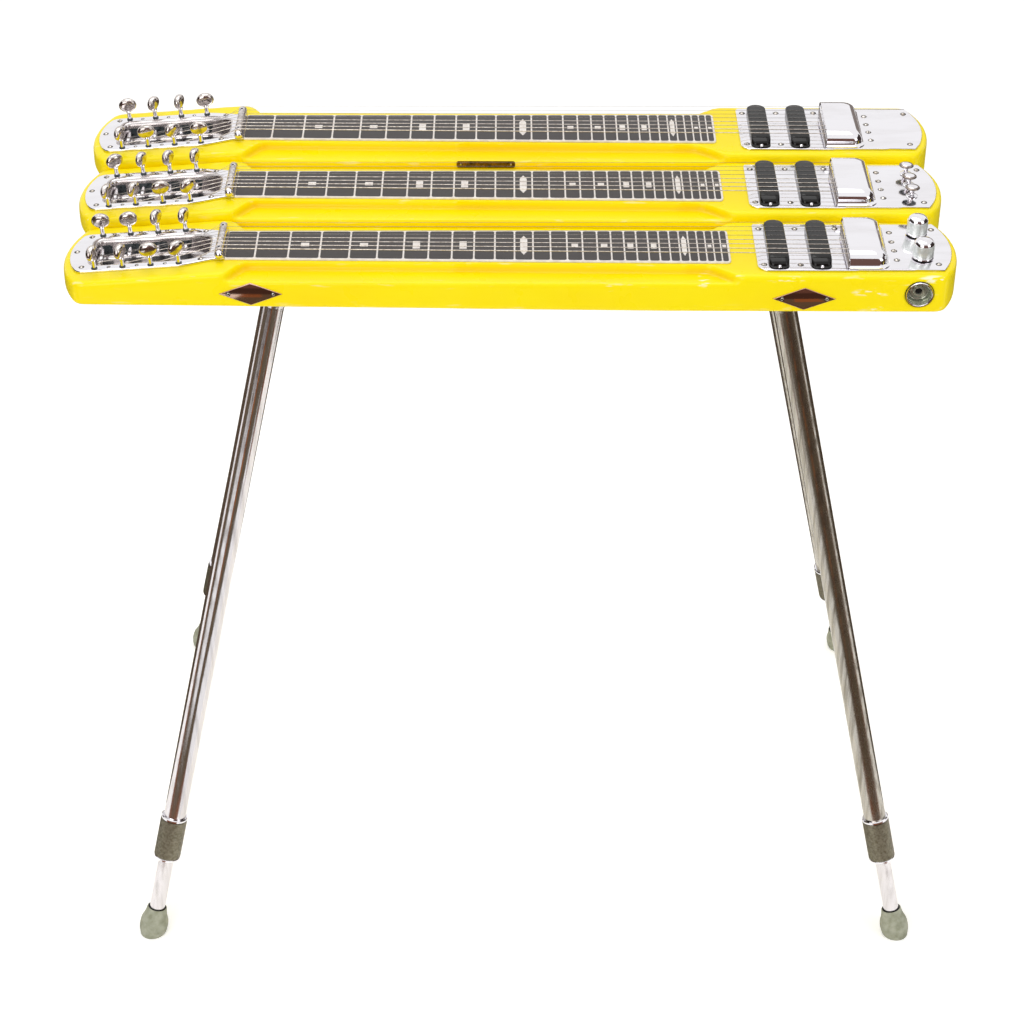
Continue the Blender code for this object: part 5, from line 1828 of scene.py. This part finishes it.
@dataclass
class Leg:
    """A splayed leg: flange, tube and knurled collar above, and a sliding tube in a rubber foot below."""

    place: str
    side: str
    splay_x: float = math.radians(12.35)
    splay_y: float = math.radians(11.0)
    spots: Point = mm(45.7, 515.5)
    inboard: float = 9.0 * MM
    slide: float = 7.95 * MM
    tube: float = 11.1 * MM
    shown: float = 92.6 * MM
    inside: float = 320.0 * MM
    collar: float = 51.0 * MM
    collar_radius: float = 13.5 * MM
    band: float = 3.5 * MM
    boss: Point = mm(11.8, 25.0)
    flange: Point = mm(27.0, 3.0)
    foot: Point = mm(14.5, 31.0)
    knurls: int = 44
    knurl_rows: int = 34
    knurl_depth: float = 0.45 * MM

    @property
    def left(self) -> bool:
        """Whether the leg stands on the heads' side."""
        return self.side == "left"

    def socket(self) -> Vector:
        """Where the leg's axis meets the underside, which is how high its CAD flange reaches.

        Returns:
            The place, in the scene's frame.
        """
        neck = Neck(self.place)
        x = self.spots[0] if self.left else self.spots[1]
        if self.place == "rear":
            x += self.inboard if self.left else -self.inboard
        height = neck.frame.translation.z + Body().underside(x + self.flange[0])
        return spot(neck.frame.translation.x + x, neck.frame.translation.y, height)

    def down(self) -> Vector:
        """The leg's way down and out.

        Returns:
            A vector one long.
        """
        x = math.tan(self.splay_x) * (-1 if self.left else 1)
        y = math.tan(self.splay_y) * (-1 if self.place == "front" else 1)
        return spot(x, y, -1.0).normalized()

    def frame(self) -> Matrix:
        """From a leg made down -Z to its splay and its place."""
        turn = Vector((0.0, 0.0, -1.0)).rotation_difference(self.down())
        return Matrix.Translation(self.socket()) @ turn.to_matrix().to_4x4()

    def knurled(self, start: float) -> Shape:
        """The collar's grip: a sleeve whose places stand in and out in turn.

        Args:
            start: How far down the leg the collar starts.

        Returns:
            The sleeve, in the leg's frame.
        """
        radius = self.collar_radius - self.knurl_depth
        length = self.collar - 2 * self.band
        rows = self.knurl_rows
        profile = [(radius, -start - self.band - length * i / rows) for i in range(rows + 1)]
        sleeve = turned(profile, self.knurls * 2)
        for corner in sleeve.verts:
            column = round(math.atan2(corner.co.y, corner.co.x) / (math.pi / self.knurls))
            row = round((-corner.co.z - start - self.band) * rows / length)
            if (column + row) % 2 == 0:
                corner.co.xy *= 1 + self.knurl_depth / radius
        return sleeve

    def upper(self, finish: Finish) -> None:
        """Dress the flange, tube and collar.

        Args:
            finish: The tube's finish.
        """
        start = self.socket().z / -self.down().z - self.shown - self.collar
        piece = Piece(f"{self.place}_{self.side}_tube")
        boss, boss_length = self.boss
        bore = self.slide + 0.3 * MM
        bottom = 60 * MM - start
        profile = [(0.0, -0.8 * MM), (boss - 1.0 * MM, -0.8 * MM), (boss, -3.0 * MM),
                   (boss, 1.0 * MM - boss_length), (boss - 0.5 * MM, -boss_length),
                   (self.tube + 0.2 * MM, -boss_length - 0.6 * MM), (self.tube, -boss_length - 1.2 * MM),
                   (self.tube, -start), (bore, -start), (bore, bottom), (0.0, bottom)]
        place = self.frame()
        piece.add(turned(profile, 40), finish, place)
        radius = self.collar_radius
        for top in (-start, -start - self.collar + self.band):
            low = top - self.band
            band = [(bore, top), (radius - 0.9 * MM, top), (radius - 0.1 * MM, top - 0.8 * MM),
                    (radius - 0.1 * MM, low + 0.8 * MM), (radius - 0.9 * MM, low), (bore, low)]
            piece.add(turned(band, 40, ring=True), SMALL_CHROME, place)
        piece.add(self.knurled(start), KNURLED_STEEL, place)
        disc, thick = self.flange
        plate = bevelled(slab([arc((0.0, 0.0), disc, 0, 354, 59)], -0.3 * MM - thick, -0.3 * MM), bottom_rim,
                         0.8 * MM, 2)
        level = Matrix.Translation(self.socket())
        piece.add(plate, SMALL_CHROME, level)
        for turn in (45, 135, 225, 315):
            x, y = arc((0.0, 0.0), 0.8 * disc, turn, turn, 1)[0]
            head = at(x, y, -thick - 0.25 * MM) @ Matrix.Rotation(math.pi, 4, "X")
            Screw(2.6 * MM, 1.2 * MM).fit(piece, level @ head)
        piece.dress(Matrix(), "root", Slot.LEG, f"{self.place}_{self.side}_leg_tube")

    def lower(self, finish: Finish) -> None:
        """Dress the sliding tube and its foot, which is cut off flat where it stands.

        Args:
            finish: The tube's finish.
        """
        length = self.socket().z / -self.down().z
        foot_radius, foot_length = self.foot
        top = length - foot_length
        start = length - self.shown - self.inside
        name = f"{self.place}_{self.side}_leg_extension"
        place = self.frame()
        piece = Piece(f"{self.place}_{self.side}_slide")
        bore = self.slide - 1.2 * MM
        end = -top - 2.0 * MM
        tube = [(self.slide, end), (self.slide, -start), (bore, -start), (bore, end)]
        piece.add(turned(tube, ring=True), finish, place)
        # The foot's flank, in shares of its radius and length; it ends below the floor and is cut off there
        flank = ((0.66, 0.0), (0.7, 0.015), (0.715, 0.05), (0.75, 0.16), (0.8, 0.26), (0.88, 0.36),
                 (0.955, 0.45), (0.99, 0.56), (1.0, 0.66), (0.99, 0.78), (0.96, 0.88), (0.9, 0.97),
                 (0.82, 1.1), (0.0, 1.1))
        profile = [(self.slide - 0.2 * MM, -top)]
        profile += [(foot_radius * share, -top - foot_length * down) for share, down in flank]
        bell = turned(profile, 40)
        bmesh.ops.transform(bell, matrix=place, verts=bell.verts[:])
        bmesh.ops.bisect_plane(bell, geom=bell.verts[:] + bell.edges[:] + bell.faces[:],
                               plane_co=(0.0, 0.0, 0.2 * MM), plane_no=(0.0, 0.0, -1.0), clear_outer=True)
        rim = [edge for edge in bell.edges if edge.is_boundary and max(v.co.z for v in edge.verts) < MM]
        bmesh.ops.edgeloop_fill(bell, edges=rim)
        piece.add(bell, RUBBER)
        # A dark ring of painted shade where the tube enters the foot
        painted_shade_ring = [(self.slide, 0.3 * MM), (self.slide + 1.3 * MM, 0.1 * MM), (self.slide + 1.4 * MM, -0.8 * MM),
               (self.slide, -0.8 * MM)]
        piece.add(turned(painted_shade_ring, ring=True), PAINTED_SHADE, place @ at(0.0, 0.0, -top + 0.2 * MM))
        piece.dress(Matrix(), name, Slot.RUBBER, name)


@dataclass
class Studio:
    """The camera, floor, lamps and surroundings."""

    lens: float = 90.0
    tilt: float = 0.606554
    yaw: float = 0.00425011
    roll: float = 0.005454
    stand: Place = mm(256.85, -2086.42, 1149.3)
    floor_glow: Point = (0.28, 0.07)
    world_light: float = 0.62

    def camera(self, neck: Neck) -> None:
        """Stand the camera where the photograph was taken from.

        Args:
            neck: The neck that the camera's place is measured from.
        """
        ahead = Vector((math.sin(self.yaw) * math.cos(self.tilt), math.cos(self.yaw) * math.cos(self.tilt),
                        -math.sin(self.tilt)))
        right = Vector((math.cos(self.yaw), -math.sin(self.yaw), 0.0))
        up = right.cross(ahead)
        across = math.cos(self.roll) * right + math.sin(self.roll) * up
        upward = math.cos(self.roll) * up - math.sin(self.roll) * right
        place = Matrix((across, upward, -ahead)).transposed().to_4x4()
        place.translation = neck.frame.translation + Vector(self.stand)
        data = bpy.data.cameras.new("camera")
        data.lens = self.lens
        camera = bpy.data.objects.new("camera", data)
        camera.matrix_world = place
        bpy.context.scene.collection.objects.link(camera)
        bpy.context.scene.camera = camera

    def put_up(self, item: bpy.types.Object, place: Place, way: Place, front: str = "Z") -> None:
        """Link an object at a place, with its front turned a way.

        Args:
            item: The object.
            place: Where it goes.
            way: The way that it faces.
            front: Which of its axes is its front.
        """
        turn = Vector(way).to_track_quat(front, "Y").to_matrix().to_4x4()
        item.matrix_world = Matrix.Translation(place) @ turn
        bpy.context.scene.collection.objects.link(item)

    def card(self, name: str, size: Point, place: Place, way: Place, material: bpy.types.Material,
             seen: bool = False) -> None:
        """Put up a floor or a card.

        Args:
            name: Its name.
            size: Its width and height.
            place: Its middle.
            way: The way that it faces.
            material: Its material.
            seen: Whether the camera sees it; polished metal always does.
        """
        shape = bmesh.new()
        bmesh.ops.create_grid(shape, x_segments=1, y_segments=1, size=0.5)
        bmesh.ops.scale(shape, vec=(*size, 1.0), verts=shape.verts[:])
        item = bpy.data.objects.new(name, mesh_of(shape, name))
        item.data.materials.append(material)
        self.put_up(item, place, way)
        if not seen:
            item.visible_camera = False
            item.visible_diffuse = False
            item.visible_shadow = False

    def glow(self, name: str, colour: str) -> bpy.types.Material:
        """A card's even colour, which shines by itself.

        Args:
            name: The material's name.
            colour: Its colour.

        Returns:
            The material.
        """
        material = bpy.data.materials.new(name)
        material.use_nodes = True
        tree = material.node_tree
        tree.nodes.clear()
        light = add_node(tree, "ShaderNodeEmission", {"Color": linear(colour), "Strength": 1.0})
        add_node(tree, "ShaderNodeOutputMaterial", {"Surface": light.outputs[0]})
        return material

    def floor(self) -> None:
        """A wide white floor that keeps the object's shadow and reads white to the camera and the metal."""
        material = bpy.data.materials.new("studio_floor_white")
        material.use_nodes = True
        tree = material.node_tree
        shader = tree.nodes["Principled BSDF"]
        shader.inputs["Base Color"].default_value = linear("#F8F7F5")
        shader.inputs["Roughness"].default_value = 0.9
        shader.inputs["Emission Color"].default_value = linear("#FFFFFF")
        path = add_node(tree, "ShaderNodeLightPath", {})
        camera = path.outputs["Is Camera Ray"]
        seen = combined(tree, "MAXIMUM", camera, path.outputs["Is Glossy Ray"])
        strength = combined(tree, "ADD", combined(tree, "MULTIPLY", seen, self.floor_glow[0]),
                            combined(tree, "MULTIPLY", camera, self.floor_glow[1]))
        tree.links.new(strength, shader.inputs["Emission Strength"])
        self.card("floor", (14.0, 14.0), (0.0, 0.0, 0.0), UP, material, seen=True)

    def lamp(self, name: str, power: float, size: float, place: Place, aim: Place) -> None:
        """Hang a square soft white lamp.

        Args:
            name: Its name.
            power: Its power in watts.
            size: Its width.
            place: Where it hangs.
            aim: What it points at.
        """
        data = bpy.data.lights.new(name, "AREA")
        data.energy = power
        data.size = size
        self.put_up(bpy.data.objects.new(name, data), place, Vector(aim) - Vector(place), "-Z")

    def world(self) -> None:
        """White surroundings: full to the camera, softer as light."""
        world = bpy.data.worlds.new("studio_surroundings")
        bpy.context.scene.world = world
        world.use_nodes = True
        tree = world.node_tree
        tree.nodes.clear()
        path = add_node(tree, "ShaderNodeLightPath", {})
        seen = ranged(tree, path.outputs["Is Camera Ray"], (0.0, 1.0), (self.world_light, 1.0))
        glossy = ranged(tree, path.outputs["Is Glossy Ray"], (0.0, 1.0), (0.0, 1.0 - self.world_light))
        back = add_node(tree, "ShaderNodeBackground",
                        {"Color": linear("#FFFFFF"), "Strength": combined(tree, "ADD", seen, glossy)})
        add_node(tree, "ShaderNodeOutputWorld", {"Surface": back.outputs[0]})

    def surroundings(self) -> None:
        """Put up the cards that polished metal mirrors: a room's floor, its walls and what lies there."""
        for name, colour, cards in (
                ("wooden_floor", "#92603E", (("left_wooden", (0.3, 0.36), (-0.38, -1.23, 0.018), UP),
                                             ("right_wooden", (0.34, 0.36), (0.46, -1.23, 0.018), UP))),
                ("near_floor", "#84553E", (("near_floor", (7.0, 0.15), (0.0, -0.535, 0.012), UP),)),
                ("olive_floor", "#665A4B", (("middle_floor", (7.0, 0.8), (0.0, -1.01, 0.012), UP),)),
                ("shaded_floor", "#4A362F", (("shaded_floor", (7.0, 2.0), (0.0, -2.41, 0.012), UP),)),
                ("dark_wall", "#3A302E", (("left_wall", (5.8, 3.0), (-3.4, -0.5, 1.5), (1.0, 0.0, 0.0)),
                                          ("right_wall", (5.8, 3.0), (3.4, -0.5, 1.5), (-1.0, 0.0, 0.0)))),
                ("brown_room", "#6C5049", (("front_wall", (7.0, 3.4), (0.0, -3.4, 1.7), (0.0, 1.0, 0.0)),)),
                ("brown_wall", "#5A4C40", (("left_floor", (3.02, 0.4), (-1.89, 0.15, 0.012), UP),
                                           ("right_floor", (3.02, 0.4), (1.89, 0.15, 0.012), UP),
                                           ("back_floor", (6.8, 2.04), (0.0, 1.37, 0.012), UP))),
                ("white_strip", "#FFFFFF", (("white_floor", (0.7, 0.5), (-0.85, -1.1, 0.02), UP),
                                            ("centre_floor", (0.44, 0.42), (0.0, -0.54, 0.02), UP))),
                ("grey_wall", "#857C76", (("back_wall", (2.7, 1.5), (2.05, 3.4, 0.75), (0.0, -1.0, 0.0)),))):
            material = self.glow(f"studio_{name}", colour)
            for card, size, place, way in cards:
                self.card(f"{card}_card", size, place, way, material)

    def build(self, neck: Neck) -> None:
        """Set up everything round the object.

        Args:
            neck: The neck that the camera's place is measured from.
        """
        self.camera(neck)
        self.floor()
        self.world()
        self.lamp("top_softbox", 22.0, 2.0, (-0.2, 0.5, 2.9), (0.0, 0.0, 0.7))
        self.lamp("front_softbox", 20.0, 1.6, (-1.0, -2.3, 1.7), (0.0, 0.0, 0.55))
        self.lamp("right_softbox", 8.0, 1.2, (2.0, -1.4, 1.5), (0.1, 0.0, 0.6))
        self.surroundings()


def main() -> None:
    """Build the guitar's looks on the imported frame."""
    logging.basicConfig(level=logging.INFO, format="%(name)s: %(message)s")
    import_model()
    wood = Body()
    meshes = {name: wood.mesh(name == "front") for name in NECKS[:2]}
    meshes["rear"] = meshes["middle"]
    pan = TunerPan()
    for name in NECKS:
        neck = Neck(name)
        wood.build(neck, meshes[name])
        Fretboard().build(neck)
        pan.build(neck)
        Nut().build(neck)
        TunerKey().build(neck, KEY_TURNS[name])
        Strings().build(neck, pan)
        ControlPlate().build(neck)
        BridgeCover().build(neck)
        Pickup().build(neck)
    front, middle, rear = (Neck(name) for name in NECKS)
    for name, y in KNOB_Y.items():
        Knob().build(front, name, y)
    for name, y in SELECTOR_Y.items():
        Selector().build(middle, name, y)
        Selector().bushing(middle, y)
    Jack().build(front)
    Diamond().build(front)
    Badge().build(rear)
    for place in ("front", "rear"):
        for side in ("left", "right"):
            finish = LEG_CHROME if side == "left" else WORN_CHROME
            leg = Leg(place, side)
            leg.upper(finish)
            leg.lower(LEG_CHROME)
    Studio().build(front)
    bpy.context.scene.view_settings.view_transform = "Standard"
    bpy.context.view_layer.update()


if __name__ == "__main__":
    main()
